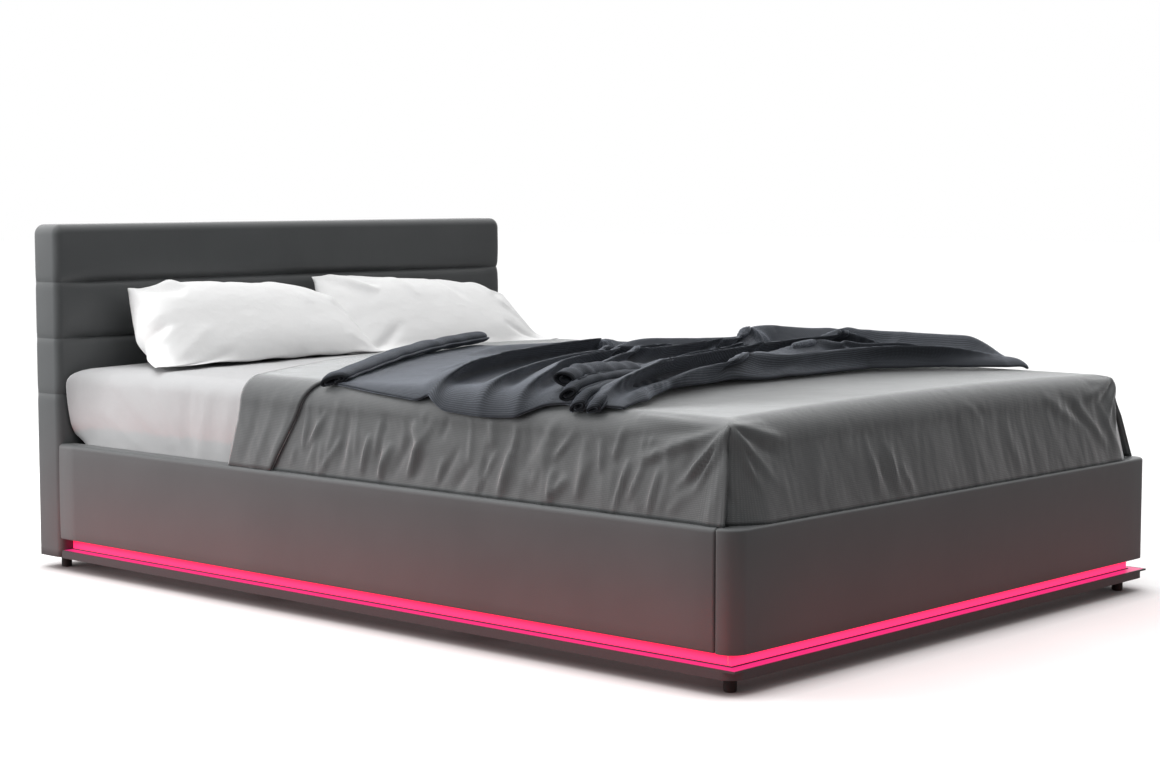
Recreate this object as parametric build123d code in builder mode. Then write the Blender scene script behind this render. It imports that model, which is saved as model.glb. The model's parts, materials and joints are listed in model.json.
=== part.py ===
from build123d import *
import math
import os

# Upholstered storage bed with a lit plinth, a gas-lift slatted base and its bedding.
# +Z is up, +Y points to the headboard, X runs across. The origin is on the floor, under the
# middle of the outline. Left is -X, seen from the foot of the bed.

# Mattress and the room around it
mattress_width = 1400
mattress_length = 2000
mattress_height = 243
side_gap = 13.5
head_gap = 12
foot_gap = 8
mattress_sink = 53

# Upholstered box
rail_thickness = 48
rail_height = 231
rail_edge_radius = 10
rail_lower_radius = 6
foot_corner_radius = 36
board_thickness = 30
edge_padding = 9
headboard_thickness = 96
headboard_height = 804
headboard_corner_radius = 36
headboard_front_radius = 28
headboard_back_radius = 14
headboard_front_padding = 22
headboard_back_padding = 8
headboard_side_padding = 20
seam_height_shares = (0.4925, 0.659, 0.827)
seam_depth = 6

# Plinth and its light gap
foot_height = 31
foot_diameter = 25
foot_inset = 47
ledge_thickness = 15
ledge_width = 110
light_gap_height = 31
light_recess = 33
channel_depth = 9
channel_wall = 1.5
diffuser_thickness = 2.5
light_strip_width = 10
light_strip_thickness = 1.6
batten_width = 26
bearer_width = 80
floor_thickness = 12
floor_gap = 1
driver_length = 180
driver_width = 52
driver_height = 22
inlet_width = 20
inlet_height = 12
inlet_depth = 14

# Lift frame and slats
frame_tube = 30
tube_wall = 2
vent_diameter = 8
frame_head_gap = 16
frame_foot_gap = 18
slat_width = 53
slat_thickness = 10
slat_count = 13
slat_end_gap = 40
cap_floor = 10
cap_wall = 5
cap_length = 40
cap_clearance = 0.3
ledger_depth = 73
ledger_height = 25
ledger_bracket_gap = 200
strap_width = 30
strap_thickness = 1.5
strap_rise = 62

# Lift mechanism, one set at each side
bracket_thickness = 4
layer_gap = 1
strut_diameter = 17
strut_bore = 13
link_thickness = 5
pivot_diameter = 12
pin_clearance = 0.1
boss_wall = 5
loop_clearance = 3
front_link_width = 26
rear_link_width = 22
eye_wall = 7
lightening_width = 10
front_ground_reach = 822
front_ground_rise = 11
front_frame_reach = 473
front_frame_rise = 25
rear_ground_reach = 950
rear_ground_drop = 114
rear_frame_reach = 533
rear_frame_drop = 66
strut_ground_reach = 620
strut_ground_drop = 105
strut_frame_reach = 333
strut_frame_drop = 15
strut_pin_diameter = 8
strut_eye_width = 8
strut_eye_radius = 9
strut_neck_diameter = 10
strut_neck_length = 6
strut_tube_length = 248
strut_cap_thickness = 6
rod_diameter = 8
gland_clearance = 1.3
rod_length = 160
piston_diameter = 10.4
piston_length = 10
pin_head_wall = 3
pin_head_height = 3

# Brackets at the corners
corner_leg = 40
corner_height = 80
corner_thickness = 3
corner_rise = 20
screw_diameter = 6
screw_length = 34
screw_head_diameter = 12
screw_head_height = 4
screw_spacing = 44

# Bedding
cloth_clearance = 0.3
mattress_bulge = 6
mattress_shoulder = 45
mattress_corner_radius = 60
mattress_crown = 10
crown_clearance = 0.5
sheet_thickness = 3
sheet_tuck = 40
duvet_reach = 655
duvet_thickness = 8
duvet_rail_clearance = 0.6
fold_length = 150
fold_thickness = 7
drape_pitch = 95
drape_radius = 24
drape_depth = 5
drape_lean = 6
drape_lean_shares = (0.4, -0.8, 1, 0.2, -0.5, 0.7, -1)
pillow_width = 680
pillow_height = 330
pillow_thickness = 150
pillow_headboard_gap = 36
pillow_sheet_gap = 6
pillow_tilt = 30
pillow_parting = 20
throw_reach = 880
throw_length = 690
throw_thickness = 9
throw_fold_height = 26
throw_overhang = 10
throw_drop = 24
throw_sag = 42
throw_shift = 160
throw_fold_count = 6

# Worked-out places
overrun = 5
inner_width = mattress_width + 2 * side_gap
bed_width = inner_width + 2 * rail_thickness
rail_length = head_gap + mattress_length + foot_gap
overall_length = headboard_thickness + rail_length + rail_thickness
head_face = overall_length / 2 - headboard_thickness
foot_face = rail_length + rail_thickness
inner_x = inner_width / 2
outer_x = bed_width / 2
ledge_top = foot_height + ledge_thickness
rail_bottom = ledge_top + light_gap_height
rail_top = rail_bottom + rail_height
slat_top = rail_top - mattress_sink
frame_top = slat_top - slat_thickness - cap_floor
frame_bottom = frame_top - frame_tube
batten_recess = light_recess + channel_depth

os.makedirs("parts", exist_ok=True)


def save(piece, label):
    """Label a finished piece and write its file."""
    piece.part.label = label
    export_step(piece.part, f"parts/{label}.step")


def along(reach):
    """Y of a place that lies this far from the headboard's face, toward the foot."""
    return head_face - reach


def side_plane(x):
    """Upright plane at one x. Its own axes are the reach from the headboard and the height."""
    return Plane(origin=(x, head_face, 0), x_dir=(0, -1, 0), z_dir=(-1, 0, 0))


def block(x_low, x_high, reach_low, reach_high, bottom, top):
    """Box between limits across, along and up, added to the part that is being built."""
    middle = ((x_low + x_high) / 2, along((reach_low + reach_high) / 2), (bottom + top) / 2)
    with Locations(middle):
        Box(x_high - x_low, reach_high - reach_low, top - bottom)


def side_block(side, near, far, reach_low, reach_high, bottom, top):
    """Box between two distances from the middle of the bed, on one side of it."""
    block(min(side * near, side * far), max(side * near, side * far), reach_low, reach_high, bottom, top)


SIDES = ((-1, "left"), (1, "right"))

# Corner brackets and their screws, inside the storage box
corner_bottom = rail_bottom + corner_rise
screw_heights = [corner_bottom + (corner_height + sign * screw_spacing) / 2 for sign in (-1, 1)]
screw_offset = corner_thickness + (corner_leg - corner_thickness) / 2


def rail_screws(side):
    """Screw places on a side rail's inner face, pointing into the bed."""
    return [
        Plane(origin=(side * inner_x, along(reach), height), z_dir=(-side, 0, 0)).location
        for reach in (screw_offset, rail_length - screw_offset)
        for height in screw_heights
    ]


def end_screws(reach, direction):
    """Screw places on the headboard's face or the foot rail's inner face."""
    screw_x = inner_x - screw_offset
    return [
        Plane(origin=(side * screw_x, along(reach), height), z_dir=(0, direction, 0)).location
        for side, _ in SIDES
        for height in screw_heights
    ]


def screw_holes(places):
    """Cut the screws' holes into the part that is being built."""
    with Locations(*places):
        Cylinder(screw_diameter / 2, 2 * screw_length, mode=Mode.SUBTRACT)


headboard_screws = end_screws(0, -1)
foot_screws = end_screws(rail_length, 1)
all_screws = rail_screws(-1) + rail_screws(1) + headboard_screws + foot_screws

with BuildPart() as corner_brackets:
    for side, _ in SIDES:
        for face, direction in ((0, 1), (rail_length, -1)):
            near, far = sorted((face, face + direction * corner_leg))
            thin_near, thin_far = sorted((face, face + direction * corner_thickness))
            top = corner_bottom + corner_height
            side_block(side, inner_x - corner_thickness, inner_x, near, far, corner_bottom, top)
            side_block(side, inner_x - corner_leg, inner_x, thin_near, thin_far, corner_bottom, top)
    screw_holes(all_screws)
save(corner_brackets, "corner_brackets")

with BuildPart() as corner_screws:
    with Locations(*[place * Location((0, 0, corner_thickness)) for place in all_screws]):
        Cylinder(screw_diameter / 2, screw_length + corner_thickness,
                 align=(Align.CENTER, Align.CENTER, Align.MAX))
        Cylinder(screw_head_diameter / 2, screw_head_height,
                 align=(Align.CENTER, Align.CENTER, Align.MIN))
save(corner_screws, "corner_screws")

# Headboard: a board inside a padded cover whose front is drawn in at three seams
headboard_top = foot_height + headboard_height
core_back = headboard_thickness - headboard_back_padding
core_half_width = outer_x - headboard_side_padding

with BuildPart() as headboard_core:
    with BuildSketch(Plane.XY.offset(foot_height)):
        with Locations((0, along(-(headboard_front_padding + core_back) / 2))):
            Rectangle(2 * core_half_width, core_back - headboard_front_padding)
    extrude(amount=headboard_height - headboard_side_padding)
    screw_holes(headboard_screws)
save(headboard_core, "headboard_core")

with BuildPart() as headboard_cover:
    with BuildSketch(Plane.XY.offset(foot_height)) as headboard_plan:
        with Locations((0, along(-headboard_thickness / 2))):
            Rectangle(bed_width, headboard_thickness)
        plan_corners = headboard_plan.vertices().group_by(Axis.Y)
        fillet(plan_corners[0], headboard_front_radius)
        fillet(plan_corners[-1], headboard_back_radius)
    extrude(amount=headboard_height)
    seam_levels = [foot_height + share * headboard_height for share in (0, *seam_height_shares)]
    with BuildSketch(side_plane(outer_x)):
        with BuildLine():
            for low, high in zip(seam_levels, seam_levels[1:]):
                ThreePointArc((-seam_depth, low), (0, (low + high) / 2), (-seam_depth, high))
            last_seam = seam_levels[-1]
            front_shoulder = headboard_top - headboard_front_radius
            ThreePointArc((-seam_depth, last_seam), (0, (last_seam + headboard_top) / 2),
                          (-seam_depth / 2, front_shoulder))
            turn = headboard_front_radius * (1 - math.sqrt(0.5))
            ThreePointArc((-seam_depth / 2, front_shoulder), (-seam_depth / 2 - turn, headboard_top - turn),
                          (-seam_depth / 2 - headboard_front_radius, headboard_top))
            Line((-seam_depth / 2 - headboard_front_radius, headboard_top),
                 (-headboard_thickness + headboard_back_radius, headboard_top))
            back_turn = headboard_back_radius * (1 - math.sqrt(0.5))
            ThreePointArc((-headboard_thickness + headboard_back_radius, headboard_top),
                          (-headboard_thickness + back_turn, headboard_top - back_turn),
                          (-headboard_thickness, headboard_top - headboard_back_radius))
            Line((-headboard_thickness, headboard_top - headboard_back_radius),
                 (-headboard_thickness, foot_height))
            Line((-headboard_thickness, foot_height), (-seam_depth, foot_height))
        make_face()
    extrude(amount=bed_width, mode=Mode.INTERSECT)
    with BuildSketch(Plane.XZ.offset(-overall_length / 2)) as headboard_front:
        with Locations((0, foot_height + headboard_height / 2)):
            Rectangle(bed_width, headboard_height)
        fillet(headboard_front.vertices().group_by(Axis.Y)[-1], headboard_corner_radius)
    extrude(amount=headboard_thickness + overrun, mode=Mode.INTERSECT)
    core_depth = core_back - headboard_front_padding
    with Locations((0, along(-(headboard_front_padding + core_back) / 2), foot_height)):
        Box(2 * core_half_width, core_depth, headboard_height - headboard_side_padding,
            align=(Align.CENTER, Align.CENTER, Align.MIN), mode=Mode.SUBTRACT)
    screw_holes(headboard_screws)
save(headboard_cover, "headboard_cover")

# Side rails and foot rail: a board inside a padded cover that is open below
core_inset = edge_padding
core_height = rail_height - edge_padding

for side, hand in SIDES:
    with BuildPart() as side_rail_core:
        side_block(side, inner_x + core_inset, inner_x + core_inset + board_thickness,
                   0, rail_length, rail_bottom, rail_bottom + core_height)
        screw_holes(rail_screws(side))
    save(side_rail_core, f"side_rail_core_{hand}")

    with BuildPart() as side_rail_cover:
        with BuildSketch(Plane.XZ.offset(-head_face)) as rail_section:
            with Locations((side * (inner_x + outer_x) / 2, rail_bottom + rail_height / 2)):
                Rectangle(rail_thickness, rail_height)
            fillet(rail_section.vertices().group_by(Axis.Y)[-1], rail_edge_radius)
            fillet(rail_section.vertices().group_by(Axis.Y)[0], rail_lower_radius)
            core_x = inner_x + core_inset + board_thickness / 2
            with Locations((side * core_x, rail_bottom + core_height / 2)):
                Rectangle(board_thickness, core_height, mode=Mode.SUBTRACT)
        extrude(amount=rail_length)
        screw_holes(rail_screws(side))
    save(side_rail_cover, f"side_rail_cover_{hand}")

foot_core_half_width = outer_x - foot_corner_radius

with BuildPart() as foot_rail_core:
    block(-foot_core_half_width, foot_core_half_width, rail_length + core_inset,
          rail_length + core_inset + board_thickness, rail_bottom, rail_bottom + core_height)
    screw_holes(foot_screws)
save(foot_rail_core, "foot_rail_core")


def foot_plan(depth):
    """Plan of the foot end, as wide as the bed, with its outer corners rounded."""
    with Locations((0, along(foot_face - depth / 2))):
        outline = Rectangle(bed_width, depth)
    fillet(outline.vertices().group_by(Axis.Y)[0], foot_corner_radius)


with BuildPart() as foot_rail_cover:
    with BuildSketch(Plane.XY.offset(rail_bottom)):
        foot_plan(rail_thickness)
    extrude(amount=rail_height)
    outer_edges = foot_rail_cover.faces().sort_by(Axis.Z)[-1].edges().sort_by(Axis.Y)[:-1]
    fillet(outer_edges, rail_edge_radius)
    with BuildSketch(side_plane(outer_x)) as foot_section:
        with Locations((foot_face, rail_bottom + rail_height / 2)):
            Rectangle(2 * rail_thickness, rail_height)
        fillet(foot_section.vertices().group_by(Axis.X)[0], rail_edge_radius)
    extrude(amount=bed_width, mode=Mode.INTERSECT)
    with Locations((0, along(rail_length + core_inset + board_thickness / 2), rail_bottom)):
        Box(2 * foot_core_half_width, board_thickness, core_height,
            align=(Align.CENTER, Align.CENTER, Align.MIN), mode=Mode.SUBTRACT)
    screw_holes(foot_screws)
save(foot_rail_cover, "foot_rail_cover")

# Plinth: ledge boards, battens that carry the rails, cross bearers and the storage floor
side_ledge_reach = outer_x - ledge_width

for side, hand in SIDES:
    with BuildPart() as ledge:
        side_block(side, side_ledge_reach, outer_x, 0, rail_length, foot_height, ledge_top)
    save(ledge, f"ledge_{hand}")

    with BuildPart() as batten:
        side_block(side, outer_x - batten_recess - batten_width, outer_x - batten_recess,
                   0, foot_face - batten_recess - batten_width, ledge_top, rail_bottom)
    save(batten, f"plinth_batten_{hand}")

with BuildPart() as ledge_foot:
    with BuildSketch(Plane.XY.offset(foot_height)):
        foot_plan(rail_thickness)
        with Locations((0, along(foot_face - (rail_thickness + ledge_width) / 2))):
            Rectangle(2 * side_ledge_reach, ledge_width - rail_thickness)
    extrude(amount=ledge_thickness)
save(ledge_foot, "ledge_foot")

with BuildPart() as plinth_batten_foot:
    block(-outer_x + batten_recess, outer_x - batten_recess, foot_face - batten_recess - batten_width,
          foot_face - batten_recess, ledge_top, rail_bottom)
save(plinth_batten_foot, "plinth_batten_foot")

floor_length = foot_face - batten_recess - batten_width
bearer_reaches = [bearer_width / 2, floor_length / 3, floor_length * 2 / 3]

with BuildPart() as floor_bearers:
    for reach in bearer_reaches:
        block(-side_ledge_reach, side_ledge_reach, reach - bearer_width / 2, reach + bearer_width / 2,
              foot_height, ledge_top)
save(floor_bearers, "floor_bearers")

floor_half_width = outer_x - batten_recess - batten_width - floor_gap
for index, place in enumerate(("head", "middle", "foot")):
    with BuildPart() as floor_panel:
        block(-floor_half_width, floor_half_width, floor_length * index / 3 + floor_gap / 2,
              floor_length * (index + 1) / 3 - floor_gap / 2, ledge_top, ledge_top + floor_thickness)
    save(floor_panel, f"floor_panel_{place}")

with BuildPart() as corner_feet:
    corner_reaches = (-headboard_thickness / 2, foot_face - foot_inset)
    with Locations(*[(side * (outer_x - foot_inset), along(reach), foot_height / 2)
                     for side, _ in SIDES for reach in corner_reaches]):
        Cylinder(foot_diameter / 2, foot_height)
    chamfer(corner_feet.faces().group_by(Axis.Z)[0].edges(), foot_diameter / 12)
save(corner_feet, "corner_feet")

with BuildPart() as support_feet:
    inner_column = side_ledge_reach - foot_inset
    with Locations(*[(x, along(reach), foot_height / 2)
                     for x in (-inner_column, 0, inner_column) for reach in bearer_reaches]):
        Cylinder(foot_diameter / 2, foot_height)
    chamfer(support_feet.faces().group_by(Axis.Z)[0].edges(), foot_diameter / 12)
save(support_feet, "support_feet")

# Light: a channel in the gap on three sides, a strip on its back and a diffuser over its mouth
channel_outer = outer_x - light_recess
channel_foot = foot_face - light_recess

for side, hand in SIDES:
    with BuildPart() as channel:
        side_block(side, channel_outer - channel_depth, channel_outer, 0, channel_foot - channel_depth,
                   ledge_top, rail_bottom)
        with BuildSketch(Plane.XZ.offset(-head_face)):
            with Locations((side * (channel_outer + channel_wall / 2), ledge_top + light_gap_height / 2)):
                Rectangle(2 * channel_depth - channel_wall, light_gap_height - 2 * channel_wall)
        extrude(amount=channel_foot, mode=Mode.SUBTRACT)
    save(channel, f"light_channel_{hand}")

    with BuildPart() as diffuser:
        side_block(side, channel_outer - diffuser_thickness, channel_outer, 0, channel_foot - channel_depth,
                   ledge_top + channel_wall, rail_bottom - channel_wall)
    save(diffuser, f"light_diffuser_{hand}")

with BuildPart() as channel_across:
    block(-channel_outer, channel_outer, channel_foot - channel_depth, channel_foot, ledge_top, rail_bottom)
    with Locations((0, along(channel_foot + channel_wall / 2), ledge_top + light_gap_height / 2)):
        Box(2 * outer_x, 2 * channel_depth - channel_wall, light_gap_height - 2 * channel_wall,
            mode=Mode.SUBTRACT)
save(channel_across, "light_channel_foot")

with BuildPart() as diffuser_across:
    diffuser_bottom = ledge_top + channel_wall
    diffuser_top = rail_bottom - channel_wall
    block(-channel_outer, channel_outer, channel_foot - diffuser_thickness, channel_foot,
          diffuser_bottom, diffuser_top)
    for side, _ in SIDES:
        side_block(side, channel_outer - diffuser_thickness, channel_outer,
                   channel_foot - channel_depth + channel_wall, channel_foot, diffuser_bottom, diffuser_top)
save(diffuser_across, "light_diffuser_foot")

with BuildPart() as light_strips:
    strip_bottom = ledge_top + (light_gap_height - light_strip_width) / 2
    strip_top = strip_bottom + light_strip_width
    strip_back = channel_outer - channel_depth + channel_wall
    strip_foot = channel_foot - channel_depth
    across_back = strip_foot + channel_wall
    for side, _ in SIDES:
        side_block(side, strip_back, strip_back + light_strip_thickness, 0, strip_foot - channel_depth,
                   strip_bottom, strip_top)
    block(-strip_back, strip_back, across_back, across_back + light_strip_thickness, strip_bottom, strip_top)
save(light_strips, "light_strips")

# Light driver under the head bearer, with its mains inlet at the head end
with BuildPart() as light_driver:
    driver_middle = Vector(driver_length, along(bearer_width / 2), foot_height - driver_height / 2)
    with Locations(driver_middle):
        Box(driver_length, driver_width, driver_height)
    fillet(light_driver.edges().filter_by(Axis.Z), driver_height / 6)
    with Locations(driver_middle + Vector(0, driver_width / 2, 0)):
        Box(inlet_width, 2 * inlet_depth, inlet_height, mode=Mode.SUBTRACT)
save(light_driver, "light_driver")

# Ledgers on the side rails that the lift frame rests on
for side, hand in SIDES:
    with BuildPart() as ledger:
        side_block(side, inner_x - ledger_depth, inner_x, rear_ground_reach + ledger_bracket_gap,
                   rail_length, frame_bottom - ledger_height, frame_bottom)
    save(ledger, f"side_ledger_{hand}")

# Lift mechanism: its layers, counted inward from the rail's inner face
strut_layer = bracket_thickness + layer_gap
front_layer = strut_layer + strut_diameter + layer_gap
rear_layer = front_layer + link_thickness + layer_gap
frame_layer = rear_layer + link_thickness + layer_gap
mechanism_depth = frame_layer + bracket_thickness

front_ground = (front_ground_reach, frame_bottom + front_ground_rise)
front_frame = (front_frame_reach, frame_bottom + front_frame_rise)
rear_ground = (rear_ground_reach, frame_bottom - rear_ground_drop)
rear_frame = (rear_frame_reach, frame_bottom - rear_frame_drop)
strut_ground = (strut_ground_reach, frame_bottom - strut_ground_drop)
strut_frame = (strut_frame_reach, frame_bottom - strut_frame_drop)

pivot_radius = pivot_diameter / 2
boss_radius = pivot_radius + boss_wall
eye_radius = pivot_radius + eye_wall
loop_radius = pivot_radius + loop_clearance
strut_pin_radius = strut_pin_diameter / 2


def layer_plane(side, depth):
    """Side plane that lies this deep inside one side rail's inner face."""
    return side_plane(side * (inner_x - depth))


def lying_between(start, end):
    """Middle, angle in degrees and length of the line between two pivots."""
    run, rise = end[0] - start[0], end[1] - start[1]
    middle = ((start[0] + end[0]) / 2, (start[1] + end[1]) / 2)
    return middle, math.degrees(math.atan2(rise, run)), math.hypot(run, rise)


def link_outline(start, end, width, start_radius, end_radius):
    """Outline of a flat link, with an eye at each end and a long lightening slot."""
    middle, angle, length = lying_between(start, end)
    with Locations(Location((*middle, 0), (0, 0, angle))):
        Rectangle(length, width)
        SlotOverall(length - 2 * (start_radius + end_radius), lightening_width, mode=Mode.SUBTRACT)
    with Locations(start):
        Circle(start_radius)
    with Locations(end):
        Circle(end_radius)


def hole(place, radius):
    """Round hole at one pivot of the sketch that is being drawn."""
    with Locations(place):
        Circle(radius, mode=Mode.SUBTRACT)


for side, hand in SIDES:
    with BuildPart() as ground_bracket:
        with BuildSketch(layer_plane(side, 0)):
            for place in (front_ground, rear_ground, strut_ground):
                with Locations(place):
                    Circle(eye_radius)
            make_hull()
            window, _, _ = lying_between(strut_ground, rear_ground)
            third = ((window[0] * 2 + front_ground[0]) / 3, (window[1] * 2 + front_ground[1]) / 3)
            with Locations(third):
                SlotOverall(4 * eye_radius, lightening_width * 2, mode=Mode.SUBTRACT)
            hole(strut_ground, strut_pin_radius)
        extrude(amount=side * bracket_thickness)
        for place, depth in ((front_ground, front_layer), (rear_ground, rear_layer)):
            with BuildSketch(layer_plane(side, bracket_thickness)):
                with Locations(place):
                    Circle(boss_radius)
            extrude(amount=side * (depth - layer_gap / 2 - bracket_thickness))
            with BuildSketch(layer_plane(side, 0)):
                with Locations(place):
                    Circle(pivot_radius)
            extrude(amount=side * depth, mode=Mode.SUBTRACT)
    save(ground_bracket, f"ground_bracket_{hand}")

    with BuildPart() as front_link:
        with BuildSketch(layer_plane(side, front_layer)):
            link_outline(front_ground, front_frame, front_link_width, eye_radius, eye_radius)
            hole(front_ground, pivot_radius + pin_clearance)
            hole(front_frame, pivot_radius + pin_clearance)
        extrude(amount=side * link_thickness)
    save(front_link, f"front_link_{hand}")

    with BuildPart() as rear_link:
        with BuildSketch(layer_plane(side, rear_layer)):
            link_outline(rear_ground, rear_frame, rear_link_width, boss_radius, loop_radius + boss_wall)
            hole(rear_ground, pivot_radius + pin_clearance)
            hole(rear_frame, loop_radius)
        extrude(amount=side * link_thickness)
    save(rear_link, f"rear_link_{hand}")

    with BuildPart() as frame_bracket:
        with BuildSketch(layer_plane(side, frame_layer)):
            for place in (front_frame, rear_frame, strut_frame):
                with Locations(place):
                    Circle(eye_radius)
            make_hull()
            for place, radius in ((front_frame, pivot_radius), (rear_frame, pivot_radius),
                                  (strut_frame, strut_pin_radius)):
                hole(place, radius)
        extrude(amount=side * bracket_thickness)
    save(frame_bracket, f"frame_bracket_{hand}")


def pin(side, place, radius, start, end):
    """Round pin between two depths from a side rail's inner face."""
    with BuildSketch(layer_plane(side, start)) as section:
        with Locations(place):
            Circle(radius)
    extrude(section.sketch, amount=side * (end - start))


front_face = front_layer + link_thickness + layer_gap / 2
rear_face = rear_layer + link_thickness + layer_gap / 2
strut_middle = strut_layer + strut_diameter / 2
strut_eye_face = strut_middle + strut_eye_width / 2

with BuildPart() as ground_pins:
    for side, _ in SIDES:
        pin(side, front_ground, pivot_radius, 0, front_face)
        pin(side, rear_ground, pivot_radius, 0, rear_face)
        pin(side, rear_ground, pivot_radius + pin_head_wall, rear_face, rear_face + pin_head_height)
        pin(side, strut_ground, strut_pin_radius, 0, strut_eye_face)
save(ground_pins, "ground_pins")

with BuildPart() as frame_pins:
    for side, _ in SIDES:
        head_start = front_layer - layer_gap / 2 - pin_head_height
        pin(side, front_frame, pivot_radius, front_layer - layer_gap / 2, mechanism_depth)
        pin(side, front_frame, pivot_radius + pin_head_wall, head_start, head_start + pin_head_height)
        pin(side, rear_frame, pivot_radius, rear_layer - layer_gap / 2, mechanism_depth)
        pin(side, strut_frame, strut_pin_radius, strut_middle - strut_eye_width / 2, mechanism_depth)
save(frame_pins, "frame_pins")

# Gas struts, each with its tube on the ground bracket and its rod on the frame bracket
_, strut_angle, strut_length = lying_between(strut_ground, strut_frame)
strut_lean = math.radians(strut_angle)
strut_way = (0, -math.cos(strut_lean), math.sin(strut_lean))


def strut_plane(side, distance):
    """Plane square to a strut, this far from its pivot on the ground bracket."""
    start = Vector(side * (inner_x - strut_middle), along(strut_ground[0]), strut_ground[1])
    return Plane(origin=start + Vector(*strut_way) * distance, x_dir=(1, 0, 0), z_dir=strut_way)


def strut_disc(side, start, end, radius, mode=Mode.ADD):
    """Round length of a strut between two distances from its ground pivot."""
    with BuildSketch(strut_plane(side, start)) as section:
        Circle(radius)
    extrude(section.sketch, amount=end - start, mode=mode)


def strut_eye(side, place):
    """Eye of a strut round its pin."""
    with BuildSketch(layer_plane(side, strut_middle - strut_eye_width / 2)) as section:
        with Locations(place):
            Circle(strut_eye_radius)
    extrude(section.sketch, amount=side * strut_eye_width)


def strut_eye_hole(side, place):
    """Hole of a strut's eye, with running clearance on its pin."""
    with BuildSketch(layer_plane(side, strut_layer)) as section:
        with Locations(place):
            Circle(strut_pin_radius + pin_clearance)
    extrude(section.sketch, amount=side * strut_diameter, mode=Mode.SUBTRACT)


tube_start = strut_eye_radius + strut_neck_length
tube_end = tube_start + strut_tube_length
gland_start = tube_end - strut_cap_thickness

for side, hand in SIDES:
    with BuildPart() as strut_cylinder:
        strut_eye(side, strut_ground)
        strut_disc(side, strut_eye_radius / 2, tube_start, strut_neck_diameter / 2)
        strut_disc(side, tube_start, tube_end, strut_diameter / 2)
        strut_disc(side, tube_start + strut_cap_thickness, gland_start, strut_bore / 2, Mode.SUBTRACT)
        strut_disc(side, gland_start, tube_end, rod_diameter / 2 + gland_clearance, Mode.SUBTRACT)
        strut_eye_hole(side, strut_ground)
    save(strut_cylinder, f"strut_cylinder_{hand}")

    with BuildPart() as strut_rod:
        rod_start = strut_length - rod_length
        strut_eye(side, strut_frame)
        strut_disc(side, rod_start, strut_length - strut_eye_radius / 2, rod_diameter / 2)
        strut_disc(side, rod_start, rod_start + piston_length, piston_diameter / 2)
        strut_eye_hole(side, strut_frame)
    save(strut_rod, f"strut_rod_{hand}")

# Lift frame: welded square tube, with vent holes under the cross tubes
frame_outer_x = inner_x - mechanism_depth
frame_inner_x = frame_outer_x - frame_tube
frame_head = frame_head_gap
frame_foot = rail_length - frame_foot_gap
frame_middle = (frame_head + frame_foot) / 2
cross_reaches = (frame_head + frame_tube / 2, frame_middle, frame_foot - frame_tube / 2)
half_tube = frame_tube / 2

with BuildPart() as lift_frame:
    for side, _ in SIDES:
        side_block(side, frame_inner_x, frame_outer_x, frame_head, frame_foot, frame_bottom, frame_top)
    block(-half_tube, half_tube, frame_head, frame_foot, frame_bottom, frame_top)
    for reach in cross_reaches:
        block(-frame_inner_x, frame_inner_x, reach - half_tube, reach + half_tube, frame_bottom, frame_top)
    tube_height = (frame_bottom + frame_top) / 2
    tube_bore = frame_tube - 2 * tube_wall
    long_columns = (-frame_inner_x - half_tube, 0, frame_inner_x + half_tube)
    with Locations(*[(x, along(frame_middle), tube_height) for x in long_columns]):
        Box(tube_bore, frame_foot - frame_head + overrun, tube_bore, mode=Mode.SUBTRACT)
    for reach in cross_reaches:
        for side, _ in SIDES:
            middle = side * (half_tube + frame_inner_x) / 2
            bore_length = frame_inner_x - half_tube
            with Locations((middle, along(reach), tube_height)):
                Box(bore_length, tube_bore, tube_bore, mode=Mode.SUBTRACT)
            with Locations((middle, along(reach), frame_bottom)):
                Cylinder(vent_diameter / 2, 2 * tube_wall + overrun, mode=Mode.SUBTRACT)
save(lift_frame, "lift_frame")

# Slats in two columns, in caps that stand on the side tubes and the centre tube
slat_pitch = (frame_foot - frame_head - 2 * slat_end_gap) / (slat_count - 1)
cap_half_length = slat_width / 2 + cap_wall
side_cap_outer = frame_outer_x
slat_outer = side_cap_outer - cap_wall - cap_clearance
slat_inner = cap_wall / 2 + cap_clearance
slat_reaches = [frame_head + slat_end_gap + index * slat_pitch for index in range(slat_count)]

for side, hand in SIDES:
    with BuildPart() as slats:
        for reach in slat_reaches:
            side_block(side, slat_inner, slat_outer, reach - slat_width / 2, reach + slat_width / 2,
                       slat_top - slat_thickness, slat_top)
    save(slats, f"slats_{hand}")

with BuildPart() as slat_caps:
    for side, _ in SIDES:
        for reach in slat_reaches:
            side_block(side, side_cap_outer - cap_length, side_cap_outer, reach - cap_half_length,
                       reach + cap_half_length, frame_top, slat_top - cap_clearance)
    for reach in slat_reaches:
        block(-cap_length / 2, cap_length / 2, reach - cap_half_length, reach + cap_half_length,
              frame_top, slat_top - cap_clearance)
    for side, _ in SIDES:
        slat_middle = side * (slat_inner + slat_outer) / 2
        with Locations(*[(slat_middle, along(reach), slat_top) for reach in slat_reaches]):
            Box(slat_outer - slat_inner + 2 * cap_clearance, slat_width + 2 * cap_clearance,
                2 * slat_thickness, mode=Mode.SUBTRACT)
save(slat_caps, "slat_caps")

# Pull strap: webbing on the foot tube that stands up in the gap before the foot rail
strap_reach = head_gap + mattress_length + sheet_thickness + cloth_clearance
strap_start = slat_reaches[-1] + cap_half_length + cap_clearance

with BuildPart() as lift_strap:
    block(-strap_width / 2, strap_width / 2, strap_start, strap_reach + strap_thickness,
          frame_top, frame_top + strap_thickness)
    block(-strap_width / 2, strap_width / 2, strap_reach, strap_reach + strap_thickness,
          frame_top, frame_top + strap_rise)
save(lift_strap, "lift_strap")

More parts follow.
